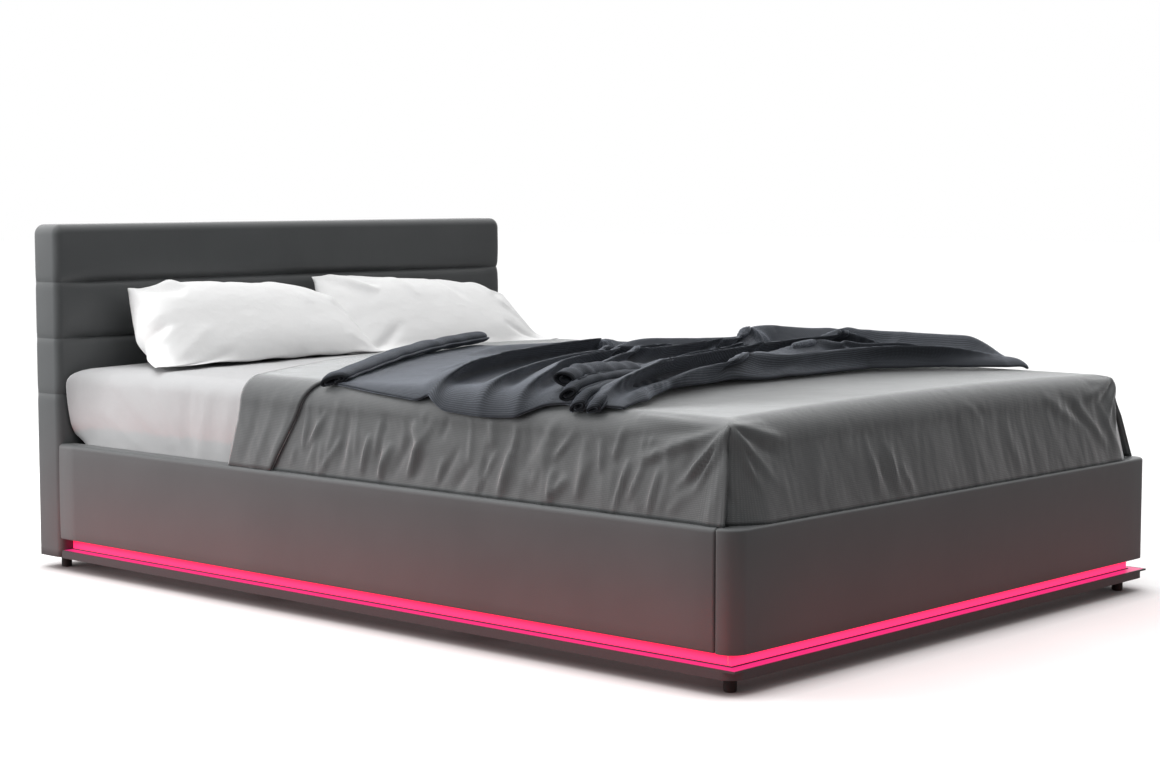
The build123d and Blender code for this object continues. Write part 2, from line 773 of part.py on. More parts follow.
# Bedding: each layer is the mattress's own form grown by what lies under it
mattress_foot = head_gap + mattress_length
mattress_edge_top = slat_top + mattress_height - mattress_crown


def bedding(grow, base):
    """Mattress form grown all over: sides that swell above the rails, round shoulders, a crown."""
    half = mattress_width / 2 + grow
    radius = mattress_shoulder + grow
    top = mattress_edge_top + grow
    shoulder = top - radius
    turn = radius * (1 - math.sqrt(0.5))
    with BuildPart() as soft:
        with BuildSketch(Plane.XZ):
            with BuildLine():
                for end in (-1, 1):
                    if base < rail_top:
                        Line((end * half, base), (end * half, rail_top))
                    ThreePointArc((end * half, max(base, rail_top)),
                                  (end * (half + mattress_bulge), (rail_top + shoulder) / 2),
                                  (end * half, shoulder))
                    ThreePointArc((end * half, shoulder), (end * (half - turn), top - turn),
                                  (end * (half - radius), top))
                ThreePointArc((radius - half, top), (0, top + mattress_crown), (half - radius, top))
                Line((-half, base), (half, base))
            make_face()
        extrude(amount=overall_length, both=True)
        with BuildSketch(side_plane(0)) as lengthwise:
            end_top = top + mattress_crown + crown_clearance
            with Locations(((head_gap + mattress_foot) / 2, (base - overrun + end_top) / 2)):
                Rectangle(mattress_length + 2 * grow, end_top - base + overrun)
            fillet(lengthwise.vertices().group_by(Axis.Y)[-1], radius)
        extrude(amount=bed_width, both=True, mode=Mode.INTERSECT)
        with BuildSketch(Plane.XY) as plan:
            with Locations((0, along((head_gap + mattress_foot) / 2))):
                Rectangle(bed_width, mattress_length + 2 * grow)
            with Locations((0, along((head_gap + mattress_foot) / 2))):
                Rectangle(2 * (half + mattress_bulge), mattress_length + 2 * grow, mode=Mode.INTERSECT)
            fillet(plan.vertices(), mattress_corner_radius + grow)
        extrude(amount=2 * headboard_top, mode=Mode.INTERSECT)
    return soft.part


sheet_inside = cloth_clearance
sheet_outside = sheet_inside + sheet_thickness
duvet_inside = sheet_outside + cloth_clearance
duvet_outside = duvet_inside + duvet_thickness
fold_inside = duvet_outside + cloth_clearance
fold_outside = fold_inside + fold_thickness
sheet_base = rail_top - sheet_tuck
duvet_base = rail_top + duvet_rail_clearance
fold_foot = duvet_reach + fold_length

mattress_form = bedding(0, slat_top)
with BuildPart() as mattress:
    add(mattress_form)
save(mattress, "mattress")

sheet_form = bedding(sheet_outside, sheet_base)
sheet_cavity = bedding(sheet_inside, slat_top)
with BuildPart() as fitted_sheet:
    add(sheet_form)
    add(sheet_cavity, mode=Mode.SUBTRACT)
save(fitted_sheet, "fitted_sheet")

duvet_form = bedding(duvet_outside, duvet_base)
duvet_cavity = bedding(duvet_inside, slat_top)
duvet_half = mattress_width / 2 + duvet_outside
duvet_foot = mattress_foot + duvet_outside
drape_height = mattress_edge_top - duvet_base
side_drapes = int((mattress_foot - fold_foot) / drape_pitch)
foot_drapes = int(mattress_width / drape_pitch)

with BuildPart() as duvet:
    add(duvet_form)
    with Locations((0, along(duvet_reach), duvet_base)):
        Box(bed_width, overall_length, headboard_height, align=(Align.CENTER, Align.MIN, Align.MIN),
            mode=Mode.SUBTRACT)
    add(duvet_cavity, mode=Mode.SUBTRACT)
    for side, _ in SIDES:
        axis_x = side * (duvet_half + mattress_bulge + drape_radius - drape_depth)
        for index in range(side_drapes):
            reach = fold_foot + (index + 0.5) * drape_pitch
            lean = drape_lean_shares[index % len(drape_lean_shares)] * drape_lean
            with Locations(Location((axis_x, along(reach), duvet_base + drape_height / 2), (lean, 0, 0))):
                Cylinder(drape_radius, 2 * drape_height, mode=Mode.SUBTRACT)
    for index in range(foot_drapes):
        x = (index + 0.5 - foot_drapes / 2) * drape_pitch
        place = (x, along(duvet_foot + drape_radius - drape_depth), duvet_base + drape_height / 2)
        with Locations(place):
            Cone(drape_radius, drape_radius / 4, drape_height + overrun, mode=Mode.SUBTRACT)
save(duvet, "duvet")

fold_form = bedding(fold_outside, duvet_base)
fold_cavity = bedding(fold_inside, slat_top)
with BuildPart() as duvet_fold:
    with Locations((0, along(fold_foot), duvet_base)):
        Box(bed_width, fold_length, headboard_height, align=(Align.CENTER, Align.MIN, Align.MIN))
    add(fold_form, mode=Mode.INTERSECT)
    add(fold_cavity, mode=Mode.SUBTRACT)
save(duvet_fold, "duvet_fold")

# Pillows, leaning on the headboard: thick in the middle, drawn in between pointed corners
pillow_base = mattress_edge_top + mattress_crown + sheet_outside + pillow_sheet_gap
tilt = math.radians(pillow_tilt)
pillow_middle = (pillow_headboard_gap + pillow_height * math.cos(tilt) / 2,
                 pillow_base + pillow_height * math.sin(tilt) / 2)
pillow_place_shares = (-1, -0.94, -0.72, -0.35, 0, 0.35, 0.72, 0.94, 1)
pillow_thickness_shares = (0.06, 0.34, 0.76, 0.96, 1, 0.96, 0.76, 0.34, 0.06)
pillow_height_shares = (1, 0.985, 0.96, 0.95, 0.95, 0.95, 0.96, 0.985, 1)


def pillow_section(thick, high):
    """Lens across a pillow, in reach and height, added as a face."""
    up = (-math.cos(tilt) * high / 2, math.sin(tilt) * high / 2)
    out = (math.sin(tilt) * thick / 2, math.cos(tilt) * thick / 2)
    low = (pillow_middle[0] - up[0], pillow_middle[1] - up[1])
    tip = (pillow_middle[0] + up[0], pillow_middle[1] + up[1])
    with BuildLine() as lens:
        ThreePointArc(low, (pillow_middle[0] + out[0], pillow_middle[1] + out[1]), tip)
        ThreePointArc(tip, (pillow_middle[0] - out[0], pillow_middle[1] - out[1]), low)
    make_face(lens.edges())


pillow_cut = bedding(duvet_inside, slat_top)
for side, hand in SIDES:
    with BuildPart() as pillow:
        pillow_x = side * (pillow_parting + pillow_width) / 2
        for place, thick, high in zip(pillow_place_shares, pillow_thickness_shares, pillow_height_shares):
            with BuildSketch(side_plane(pillow_x + place * pillow_width / 2)):
                pillow_section(thick * pillow_thickness, high * pillow_height)
        loft()
        add(pillow_cut, mode=Mode.SUBTRACT)
    save(pillow, f"pillow_{hand}")

# Throw across the bed: cloth gathered in folds, over the duvet's shoulders at both sides
throw_inside = duvet_outside + cloth_clearance
throw_top = mattress_edge_top + mattress_crown + throw_inside + throw_thickness
throw_half = mattress_width / 2 + mattress_bulge + throw_inside + throw_overhang
throw_place_shares = (-1, -0.94, -0.6, -0.2, 0.2, 0.6, 0.94, 1)
throw_sag_shares = (1, 0.3, 0.02, 0, 0, 0.02, 0.3, 1)
throw_shift_shares = (0.3, 0.25, 0.12, 0.05, 0, -0.03, 0, 0.02)
throw_crest_shares = (1, 0.45, 0.8, 0.3, 0.9, 0.55, 0.7)

with BuildPart() as throw:
    for index, place in enumerate(throw_place_shares):
        level = throw_top - throw_sag_shares[index] * throw_sag
        start = throw_reach + throw_shift_shares[index] * throw_shift
        step = throw_length / throw_fold_count
        with BuildSketch(side_plane(place * throw_half)):
            with BuildLine():
                for fold in range(throw_fold_count):
                    crest = throw_crest_shares[(fold + index) % len(throw_crest_shares)] * throw_fold_height
                    near = (start + fold * step, level)
                    far = (start + (fold + 1) * step, level)
                    ThreePointArc(near, (start + (fold + 0.5) * step, level + crest), far)
                Polyline((start + throw_length, level), (start + throw_length, level - throw_drop),
                         (start, level - throw_drop), (start, level))
            make_face()
    loft(ruled=True)
    add(bedding(throw_inside, slat_top), mode=Mode.SUBTRACT)
save(throw, "throw")
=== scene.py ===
# %% [markdown]
# # An upholstered storage bed, dressed in Blender
#
# The bed's solids come from a CAD model. They are loaded as a fixed frame in metres, with +Z up,
# +Y towards the headboard and the origin on the floor. Hard pieces keep their CAD shape and get a
# better finish. Soft pieces, such as the leather covers and the bedding, are made again here,
# each in the space of the solid that it stands for.

# %% Load the frame
import json
import math
import random

import bmesh
import bpy
import numpy as np
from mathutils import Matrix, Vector


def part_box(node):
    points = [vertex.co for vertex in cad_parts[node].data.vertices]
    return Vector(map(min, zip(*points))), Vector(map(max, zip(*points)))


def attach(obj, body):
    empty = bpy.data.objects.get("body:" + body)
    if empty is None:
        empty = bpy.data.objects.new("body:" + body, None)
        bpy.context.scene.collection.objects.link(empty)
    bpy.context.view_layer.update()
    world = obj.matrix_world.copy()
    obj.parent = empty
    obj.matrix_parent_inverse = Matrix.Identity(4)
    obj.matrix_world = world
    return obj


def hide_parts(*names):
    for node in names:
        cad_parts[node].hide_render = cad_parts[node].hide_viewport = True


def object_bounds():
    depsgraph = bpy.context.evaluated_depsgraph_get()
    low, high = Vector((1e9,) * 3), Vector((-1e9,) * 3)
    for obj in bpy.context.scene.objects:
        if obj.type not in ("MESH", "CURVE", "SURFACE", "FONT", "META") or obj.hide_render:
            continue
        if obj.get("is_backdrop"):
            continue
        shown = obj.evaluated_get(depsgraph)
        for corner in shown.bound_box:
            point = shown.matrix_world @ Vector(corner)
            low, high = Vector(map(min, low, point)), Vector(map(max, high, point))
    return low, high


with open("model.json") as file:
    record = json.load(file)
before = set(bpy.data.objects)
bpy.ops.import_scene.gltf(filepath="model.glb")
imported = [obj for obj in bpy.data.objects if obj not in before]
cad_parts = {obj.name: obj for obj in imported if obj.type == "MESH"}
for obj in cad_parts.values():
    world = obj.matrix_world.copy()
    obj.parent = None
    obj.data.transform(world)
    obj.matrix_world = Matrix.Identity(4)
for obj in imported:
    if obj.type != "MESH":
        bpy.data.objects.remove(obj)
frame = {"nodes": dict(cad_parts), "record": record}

scene = bpy.context.scene
scene.view_settings.view_transform = "Standard"
cad_low, cad_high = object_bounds()
print("CAD box", [round(v, 4) for v in (*cad_low, *cad_high)])

# %% [markdown]
# ## Camera
#
# The picture was taken low and from the left of the foot end, with a long lens, so that the
# upright edges stay nearly parallel. The camera stands about five metres away at the height of a
# seated person, and looks slightly down.

# %% Camera
CAMERA_PLACE = (-3.950, -3.599, 0.925)
CAMERA_TILT = 84.97           # degrees up from straight down
CAMERA_TURN = -47.77          # degrees round from +Y
CAMERA_LENS = 70.6            # millimetres, on a sensor of 36

camera_data = bpy.data.cameras.new("camera")
camera_data.lens = CAMERA_LENS
camera_data.sensor_width = 36
camera = bpy.data.objects.new("camera", camera_data)
camera.location = CAMERA_PLACE
camera.rotation_euler = (math.radians(CAMERA_TILT), 0, math.radians(CAMERA_TURN))
scene.collection.objects.link(camera)
scene.camera = camera
print("camera", round(Vector(CAMERA_PLACE).length, 2), "m from the origin")

# %% [markdown]
# ## Helpers
#
# Colours are written as sRGB hex values, as a paint chart gives them, but shaders work with
# linear light. One function turns one into the other. Another adds a shader node, sets its
# properties and fills its inputs, so that each finish below reads as a list of what it is made
# of. Where an input is filled with a node, that node's first output is linked to it. Many shapes
# fade between two places, so one function holds a share between 0 and 1.

# %% Colour and nodes
def clamp(share):
    """A share, held between 0 and 1."""
    return max(0.0, min(1.0, share))


def linear(code):
    """Linear RGBA of an sRGB hex colour."""
    channels = [int(code[i:i + 2], 16) / 255 for i in (1, 3, 5)]
    return (*[c / 12.92 if c <= 0.04045 else ((c + 0.055) / 1.055) ** 2.4 for c in channels], 1)


def add(tree, kind, sockets=None, **settings):
    """Add a node, set its properties, then fill its inputs with values, sockets or nodes."""
    node = tree.nodes.new("ShaderNode" + kind)
    for name, value in settings.items():
        setattr(node, name, value)
    for key, value in (sockets or {}).items():
        if isinstance(value, bpy.types.Node):
            value = value.outputs[0]
        if isinstance(value, bpy.types.NodeSocket):
            tree.links.new(value, node.inputs[key])
        else:
            node.inputs[key].default_value = value
    return node


def new_finish(name):
    """A material, its node tree, and the outputs of its texture coordinates."""
    finish = bpy.data.materials.new(name)
    finish.use_nodes = True
    tree = finish.node_tree
    tree.nodes.clear()
    return finish, tree, add(tree, "TexCoord").outputs


def close_finish(tree, shader):
    """Link the shader to the material's output."""
    add(tree, "OutputMaterial", {"Surface": shader})

# %% [markdown]
# ## Room
#
# The world is plain white where the camera looks at it. Where it lights the room it is brightest
# overhead, and brighter on the left and behind than in front, as a studio with one long window
# is. That alone models the forms: tops are light, the long side is a mid tone and the foot end
# is darkest.

# %% World
EVEN_LIGHT = 0.12
OVERHEAD_LIGHT = 1.45
OVERHEAD_FOCUS = 2.5          # a higher power gathers the light straight above
SIDE_LIGHTS = (((-0.84, 0.54, 0.10), 0.44), ((0.50, 0.86, 0.05), 1.75))    # the window, the wall behind

world = bpy.data.worlds.new("studio")
scene.world = world
world.use_nodes = True
sky = world.node_tree
sky.nodes.clear()
direction = add(sky, "TexCoord")
height = add(sky, "SeparateXYZ", {0: direction.outputs["Generated"]})
up = add(sky, "Math", {0: height.outputs["Z"], 1: 0.0}, operation="MAXIMUM")
overhead = add(sky, "Math", {0: up, 1: OVERHEAD_FOCUS}, operation="POWER")
light = add(sky, "Math", {0: overhead, 1: OVERHEAD_LIGHT, 2: EVEN_LIGHT}, operation="MULTIPLY_ADD")
for way, power in SIDE_LIGHTS:
    facing = add(sky, "VectorMath", {0: direction.outputs["Generated"], 1: way}, operation="DOT_PRODUCT")
    facing = add(sky, "Math", {0: facing.outputs["Value"], 1: 0.0}, operation="MAXIMUM")
    light = add(sky, "Math", {0: facing, 1: power, 2: light}, operation="MULTIPLY_ADD")
rays = add(sky, "LightPath")
seen = add(sky, "Math", {0: rays.outputs["Is Camera Ray"], 1: rays.outputs["Is Transmission Ray"]},
           operation="MAXIMUM")
strength = add(sky, "MapRange", {"Value": seen, "To Min": light, "To Max": 1.0})
background = add(sky, "Background", {"Color": (1, 1, 1, 1), "Strength": strength})
add(sky, "OutputWorld", {"Surface": background})
print("world:", len(sky.nodes), "nodes")

# %% [markdown]
# ## Floor
#
# The floor is a pale, matt sheet that keeps the bed's soft shadow. Close to the bed its colour also
# darkens in a painted contact shadow, where ambient occlusion finds little open sky, as a bright studio
# floor looks under a low object. The camera sees the floor lifted to the white of the backdrop, while
# the light that it throws back at the bed is that of a duller sheet, so that the sides stay dark.

# %% Floor
FLOOR_SIZE = 30
# reach and power of the painted contact shadow that darkens the floor's colour near the bed
PAINTED_SHADOW_REACH = 0.075         # distance from the bed within which the floor darkens
PAINTED_SHADOW_POWER = 1.2
FLOOR_LIFT = 0.19             # glow that takes the floor to white for the camera

floor_finish, tree, coords = new_finish("pale_studio_floor")
mottle = add(tree, "TexNoise", {"Vector": coords["Object"], "Scale": 3.0, "Detail": 3.0})
rays = add(tree, "LightPath")
tone = add(tree, "Mix", {0: mottle.outputs["Fac"], 6: linear("#e4e4e4"), 7: linear("#ebebeb")},
           data_type="RGBA")
# painted shadow: ambient occlusion darkens the floor's colour and its white glow close to the bed
near = add(tree, "AmbientOcclusion", {"Distance": PAINTED_SHADOW_REACH}, samples=8)
painted_contact_shadow = add(tree, "Math", {0: near.outputs["AO"], 1: PAINTED_SHADOW_POWER}, operation="POWER")
tone = add(tree, "Mix", {0: painted_contact_shadow, 6: linear("#453c3d"), 7: tone.outputs[2]}, data_type="RGBA")
matt = add(tree, "BsdfDiffuse", {"Color": tone.outputs[2], "Roughness": 0.5})
dim = add(tree, "BsdfDiffuse", {"Color": linear("#868686"), "Roughness": 0.5})
lift = add(tree, "Math", {0: painted_contact_shadow, 1: FLOOR_LIFT}, operation="MULTIPLY")
white = add(tree, "Emission", {"Color": (1, 1, 1, 1), "Strength": lift})
lifted = add(tree, "AddShader", {0: matt, 1: white})
either = add(tree, "MixShader", {0: rays.outputs["Is Camera Ray"], 1: dim, 2: lifted})
close_finish(tree, either)

bm = bmesh.new()
bmesh.ops.create_grid(bm, x_segments=4, y_segments=4, size=FLOOR_SIZE)
floor_mesh = bpy.data.meshes.new("floor")
bm.to_mesh(floor_mesh)
bm.free()
floor_mesh.materials.append(floor_finish)
floor = bpy.data.objects.new("floor", floor_mesh)
scene.collection.objects.link(floor)
floor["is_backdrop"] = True
print("floor", 2 * FLOOR_SIZE, "m square")

# %% [markdown]
# ## Lamps
#
# A soft lamp high above gives the tops their light, another fills from the front, and a third
# stands where the window is and lights the pillows. The light gap's own glow also reaches the
# floor, so two low, narrow lamps in its colour repeat it along the ledges.

# %% Lamps
def lamp(name, place, target, width, height, power, tint="#ffffff", spread=180):
    """A rectangular soft lamp that points at a target."""
    data = bpy.data.lights.new(name, "AREA")
    data.shape = "RECTANGLE"
    data.size, data.size_y = width, height
    data.energy = power
    data.spread = math.radians(spread)
    data.color = linear(tint)[:3]
    made = bpy.data.objects.new(name, data)
    made.location = place
    made.rotation_euler = (Vector(target) - Vector(place)).to_track_quat("-Z", "Y").to_euler()
    made.visible_camera = False
    made.visible_glossy = False
    scene.collection.objects.link(made)
    print(name, power, "W")


GLOW_TINT, GLOW_SPREAD = "#ff2a22", 85
lamp("key_above", (-1.2, 1.8, 3.6), (0.0, -0.1, 0.4), 2.2, 2.2, 44)
lamp("fill_front", (-0.4, -2.0, 4.2), (0.0, 0.5, 0.4), 2.4, 2.0, 28)
lamp("window_head", (-2.9, 2.3, 1.1), (-0.76, 0.8, 0.35), 1.2, 1.2, 78)
lamp("glow_left", (-1.06, -0.05, 0.03), (-0.76, -0.05, 0.11), 2.2, 0.05, 1.5, GLOW_TINT, GLOW_SPREAD)
lamp("glow_foot", (0.0, -1.38, 0.03), (0.0, -1.08, 0.11), 1.5, 0.05, 0.5, GLOW_TINT, GLOW_SPREAD)

# %% [markdown]
# ## Leather finish
#
# The covers are dark grey PU leather: a polyurethane skin on a woven back. It has a satin
# surface, a fine pebbled grain that was embossed with a roller, and small changes in tone where
# it is stretched. The embossed cells are about 1.5 mm across. They are drawn at 3 mm, because at
# this distance the real ones would vanish.

# %% PU leather
GRAIN_CELL = 0.003

leather, tree, coords = new_finish("pu_leather_satin")
cells = add(tree, "TexVoronoi", {"Vector": coords["Object"], "Scale": 1 / GRAIN_CELL})
stretch = add(tree, "TexNoise", {"Vector": coords["Object"], "Scale": 4.0, "Detail": 4.0})
waves = add(tree, "TexNoise", {"Vector": coords["Object"], "Scale": 9.0, "Detail": 2.0})
tone = add(tree, "Mix", {0: stretch.outputs["Fac"], 6: linear("#454748"), 7: linear("#525455")},
           data_type="RGBA")
gloss = add(tree, "MapRange", {"Value": stretch.outputs["Fac"], "To Min": 0.40, "To Max": 0.52})
soft = add(tree, "Bump", {"Height": waves.outputs["Fac"], "Strength": 0.35, "Distance": 0.004})
grain = add(tree, "Bump", {"Height": cells.outputs["Distance"], "Normal": soft,
                           "Strength": 0.16, "Distance": 0.0006})
skin = add(tree, "BsdfPrincipled", {"Base Color": tone.outputs[2], "Roughness": gloss,
                                    "Normal": grain, "IOR": 1.5, "Sheen Weight": 0.08,
                                    "Sheen Roughness": 0.5})
close_finish(tree, skin)
print(leather.name, len(tree.nodes), "nodes")

# %% [markdown]
# ## Padded covers
#
# An upholsterer stretches the leather over foam on a board, so every edge is round and the face
# is slightly full. A cube is scaled to the board's size, its edges are bevelled by the real
# radii, and it is cut into a fine grid, so that a function can draw the face in at the seams.

# %% Block helpers
def piece(name, bm, finish, body, stands_for=(), smooth=True):
    """Turn a bmesh into an object that rides on a body."""
    mesh = bpy.data.meshes.new(name)
    bm.to_mesh(mesh)
    bm.free()
    made = bpy.data.objects.new(name, mesh)
    scene.collection.objects.link(made)
    mesh.materials.append(finish)
    if smooth:
        mesh.shade_smooth()
    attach(made, body)
    if stands_for:
        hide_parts(*stands_for)
    print(name, len(mesh.polygons), "faces")
    return made


def block(low, high):
    """A bmesh cube between two corners."""
    bm = bmesh.new()
    bmesh.ops.create_cube(bm, size=1)
    bmesh.ops.scale(bm, vec=high - low, verts=bm.verts)
    bmesh.ops.translate(bm, vec=(low + high) / 2, verts=bm.verts)
    return bm


def round_edges(bm, picked, radius, segments):
    """Bevel the edges whose middle and direction a test accepts."""
    edges = [e for e in bm.edges if picked((e.verts[0].co + e.verts[1].co) / 2,
                                           (e.verts[1].co - e.verts[0].co).normalized())]
    bmesh.ops.bevel(bm, geom=edges, offset=radius, segments=segments, affect="EDGES", profile=0.5,
                    material=-1, clamp_overlap=True)


def slice_along(bm, axis, places):
    """Cut the whole bmesh with planes square to one axis."""
    normal = Vector([1 if i == axis else 0 for i in range(3)])
    for place in places:
        bmesh.ops.bisect_plane(bm, geom=bm.verts[:] + bm.edges[:] + bm.faces[:], plane_co=normal * place,
                               plane_no=normal)


def steps(start, end, pitch):
    """Evenly spaced places strictly between two ends."""
    count = max(1, round(abs(end - start) / pitch))
    return [start + (end - start) * i / count for i in range(1, count)]

# %% [markdown]
# ## Headboard cover
#
# The headboard's front is one padded face, drawn back at three level seams that run round its
# ends. Between the seams the foam stands proud. Close to the ends each seam gets shallow, where
# the thread passes over the edge of the board.

# %% Headboard cover
SEAM_LEVELS = (0.427, 0.561, 0.696)
SEAM_CUTS = (-0.02, -0.014, -0.009, -0.005, -0.002, 0.0, 0.002, 0.005, 0.009, 0.014)
SEAM_WIDTH = 0.0065           # distance over which a seam's groove fades
SEAM_DEPTH, SEAM_LEAST_DEPTH = 0.0085, 0.0025
SEAM_SIDE_DEPTH = 0.0028
SEAM_END, SEAM_FADE = 0.745, 0.07     # a seam gets shallow over the second, up to the first
PANEL_RISE = 0.004            # how far the foam between two seams stands proud
FRONT_SKIN = 0.03             # depth of the front that the seams draw in
PUCKER = 0.0012               # waves beside a seam, where the thread gathers the leather
TOP_CORNER, FRONT_EDGE, BACK_EDGE = 0.025, 0.020, 0.013
CUT_PITCH, COLUMN_PITCH = 0.019, 0.035

head_low, head_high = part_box("headboard_cover")
front, back = head_low.y, head_high.y
bm = block(Vector((head_low.x, head_low.y, head_low.z + 0.0003)), head_high)
round_edges(bm, lambda m, d: abs(d.y) > 0.9 and m.z > head_high.z - 0.01, TOP_CORNER, 8)
for face, radius, segments in ((front, FRONT_EDGE, 8), (back, BACK_EDGE, 5)):
    round_edges(bm, lambda m, d: abs(m.y - face) < 1e-4 and abs(d.y) < 0.1 and m.z > head_low.z + 0.002,
                radius, segments)
levels = steps(head_low.z, 0.79, CUT_PITCH)
levels += [seam + offset for seam in SEAM_LEVELS for offset in SEAM_CUTS]
slice_along(bm, 2, sorted(levels))
columns = steps(-0.73, 0.73, COLUMN_PITCH)
slice_along(bm, 0, columns + [side * x for side in (-1, 1) for x in (0.725, 0.71, 0.695, 0.68)])

panel_edges = (head_low.z, *SEAM_LEVELS, head_high.z)
for v in bm.verts:
    nearest = min(abs(v.co.z - seam) for seam in SEAM_LEVELS)
    inset = clamp((SEAM_END - abs(v.co.x)) / SEAM_FADE)
    crease = math.exp(-nearest / SEAM_WIDTH)
    swell = 0.0
    for low, high in zip(panel_edges, panel_edges[1:]):
        if low <= v.co.z <= high:
            swell = 1 - abs(2 * (v.co.z - low) / (high - low) - 1) ** 2.6
    if v.co.y < front + FRONT_SKIN:
        depth = 1 - max(0.0, (v.co.y - front) / FRONT_SKIN)
        pucker = PUCKER * math.sin(v.co.x * 61 + v.co.z * 13) * math.exp(-nearest / 0.03)
        groove = crease * (SEAM_LEAST_DEPTH + SEAM_DEPTH * inset)
        v.co.y += depth * ((1 - swell) * PANEL_RISE + groove + pucker * inset)
    if v.co.y < back - 0.005:
        at_side = clamp((abs(v.co.x) - 0.735) / 0.02)
        v.co.x -= math.copysign(at_side * crease * SEAM_SIDE_DEPTH, v.co.x)
bmesh.ops.recalc_face_normals(bm, faces=bm.faces)
headboard_leather = piece("headboard_leather", bm, leather, "bed_box", ["headboard_cover"])

# %% [markdown]
# ## Rail covers
#
# Each side rail is a padded board that ends against the foot rail in an upright seam. The foot
# rail wraps round both corners. The covers' upper edges are round and full. Their lower edges
# turn in tightly over the light gap.

# %% Rail covers
RAIL_MIDDLE, RAIL_HALF = 0.1925, 0.1155       # height of a cover's middle, and half its own height
RAIL_SWELL = 0.0015           # fullness of a side cover's outer face
RAIL_CUTS = steps(0.085, 0.296, 0.02)
CUT_SPACING = 0.05            # cuts along a rail
HEAD_LAP = 0.0030             # how far a side cover reaches over the end of its board
SEAM_GAP = 0.0006             # the upright seam beside the foot rail
SIDE_TOP_EDGE, FOOT_TOP_EDGE, LOWER_EDGE = 0.010, 0.009, 0.005
SEAM_EDGE, FOOT_CORNER, FOOT_BACK_EDGE = 0.007, 0.036, 0.006


def fill_out(bm, middle):
    """Let a side rail's outer face swell a little between its upper and lower edge."""
    for v in bm.verts:
        share = max(-1.0, min(1.0, (v.co.z - RAIL_MIDDLE) / RAIL_HALF))
        v.co.x += math.copysign(RAIL_SWELL * (1 - share * share), v.co.x - middle)


for side, hand in ((-1, "left"), (1, "right")):
    name = f"side_rail_cover_{hand}"
    low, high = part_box(name)
    bm = block(Vector((low.x, low.y + SEAM_GAP, low.z)), Vector((high.x, high.y + HEAD_LAP, high.z)))
    round_edges(bm, lambda m, d: abs(d.y) > 0.9 and m.z > 0.3, SIDE_TOP_EDGE, 6)
    round_edges(bm, lambda m, d: abs(d.y) > 0.9 and m.z < 0.08, LOWER_EDGE, 3)
    round_edges(bm, lambda m, d: abs(m.y - low.y) < 0.002 and abs(d.y) < 0.1, SEAM_EDGE, 4)
    slice_along(bm, 2, RAIL_CUTS)
    slice_along(bm, 1, steps(low.y + 0.01, high.y - 0.01, CUT_SPACING))
    fill_out(bm, (low.x + high.x) / 2)
    bmesh.ops.recalc_face_normals(bm, faces=bm.faces)
    rail = piece(f"side_rail_leather_{hand}", bm, leather, "bed_box", [name])

low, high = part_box("foot_rail_cover")
bm = block(low, high)
round_edges(bm, lambda m, d: abs(d.z) > 0.9 and m.y < low.y + 0.01, FOOT_CORNER, 8)
round_edges(bm, lambda m, d: abs(d.z) > 0.9 and m.y > high.y - 0.01, FOOT_BACK_EDGE, 4)
round_edges(bm, lambda m, d: m.z > high.z - 1e-4 and abs(d.z) < 0.1, FOOT_TOP_EDGE, 5)
round_edges(bm, lambda m, d: m.z < low.z + 1e-4 and abs(d.z) < 0.1 and m.y < high.y - 0.002, LOWER_EDGE, 3)
slice_along(bm, 2, RAIL_CUTS)
slice_along(bm, 0, steps(-0.72, 0.72, CUT_SPACING))
bmesh.ops.recalc_face_normals(bm, faces=bm.faces)
foot_leather = piece("foot_rail_leather", bm, leather, "bed_box", ["foot_rail_cover"])

# %% [markdown]
# ## The shape under the bedding
#
# Every layer of bedding follows the mattress, grown by what lies under it. The mattress has a
# slightly crowned top, a round shoulder, and sides that bulge above the rails. A layer is made
# from flat grids, which is how cloth is cut: one over the top and one down each side. Their
# points are laid over the form by distances measured along the cloth, so the weave keeps its
# scale, and those distances in metres become the UV map.

# %% Bedding form
HALF = 0.700          # half the mattress's width
SHOULDER = 0.045      # radius from its top to its side
TOP = 0.488           # height of its top edge
CROWN = 0.010         # rise of its middle
BULGE = 0.005         # swell of its sides
FLAT = HALF - SHOULDER
RAIL_TOP = 0.308
FLARE = 0.037         # how far a hem that ends on the rails stands out over them
HEAD_FACE = 0.986     # y of the headboard's front
MATTRESS_HEAD = 0.012
MATTRESS_FOOT = 2.012
HEAD_LINE = MATTRESS_HEAD + SHOULDER      # reach of each end's shoulder line from the headboard
FOOT_LINE = MATTRESS_FOOT - SHOULDER


def crown(x):
    """Rise of the mattress's top at one place across the bed."""
    return CROWN * (1 - min(1.0, abs(x) / FLAT) ** 2)


def low_share(height):
    """Share of the hem's flare at one height."""
    return max(0.0, (TOP - SHOULDER - height) / (TOP - SHOULDER - RAIL_TOP)) ** 1.6


def drop_of(grow, base):
    """Length of a layer from its shoulder line down to its lower edge."""
    return (SHOULDER + grow) * math.pi / 2 + (TOP - SHOULDER) - base


def over_shoulder(place, way, down, grow, base, lift=0.0):
    """Point that lies this far down over the shoulder from a place (x, reach) on its line."""
    radius = SHOULDER + grow
    turn = radius * math.pi / 2
    start = TOP + grow + crown(place[0]) * max(0.0, 1 - down / drop_of(grow, base))
    if down <= turn:
        angle = down / radius
        out, height = (radius + lift) * math.sin(angle), start - radius + (radius + lift) * math.cos(angle)
    else:
        height = start - radius - (down - turn)
        share = clamp((start - radius - height) / (start - radius - RAIL_TOP))
        out = radius + lift + BULGE * math.sin(math.pi * share)
        out += FLARE * share ** 1.6 if base > RAIL_TOP else 0
    x = place[0] + way[0] * out
    return Vector((x, HEAD_FACE - (place[1] + way[1] * out), height))


print("bedding: top", TOP, "m up,", 2 * HALF, "m wide")

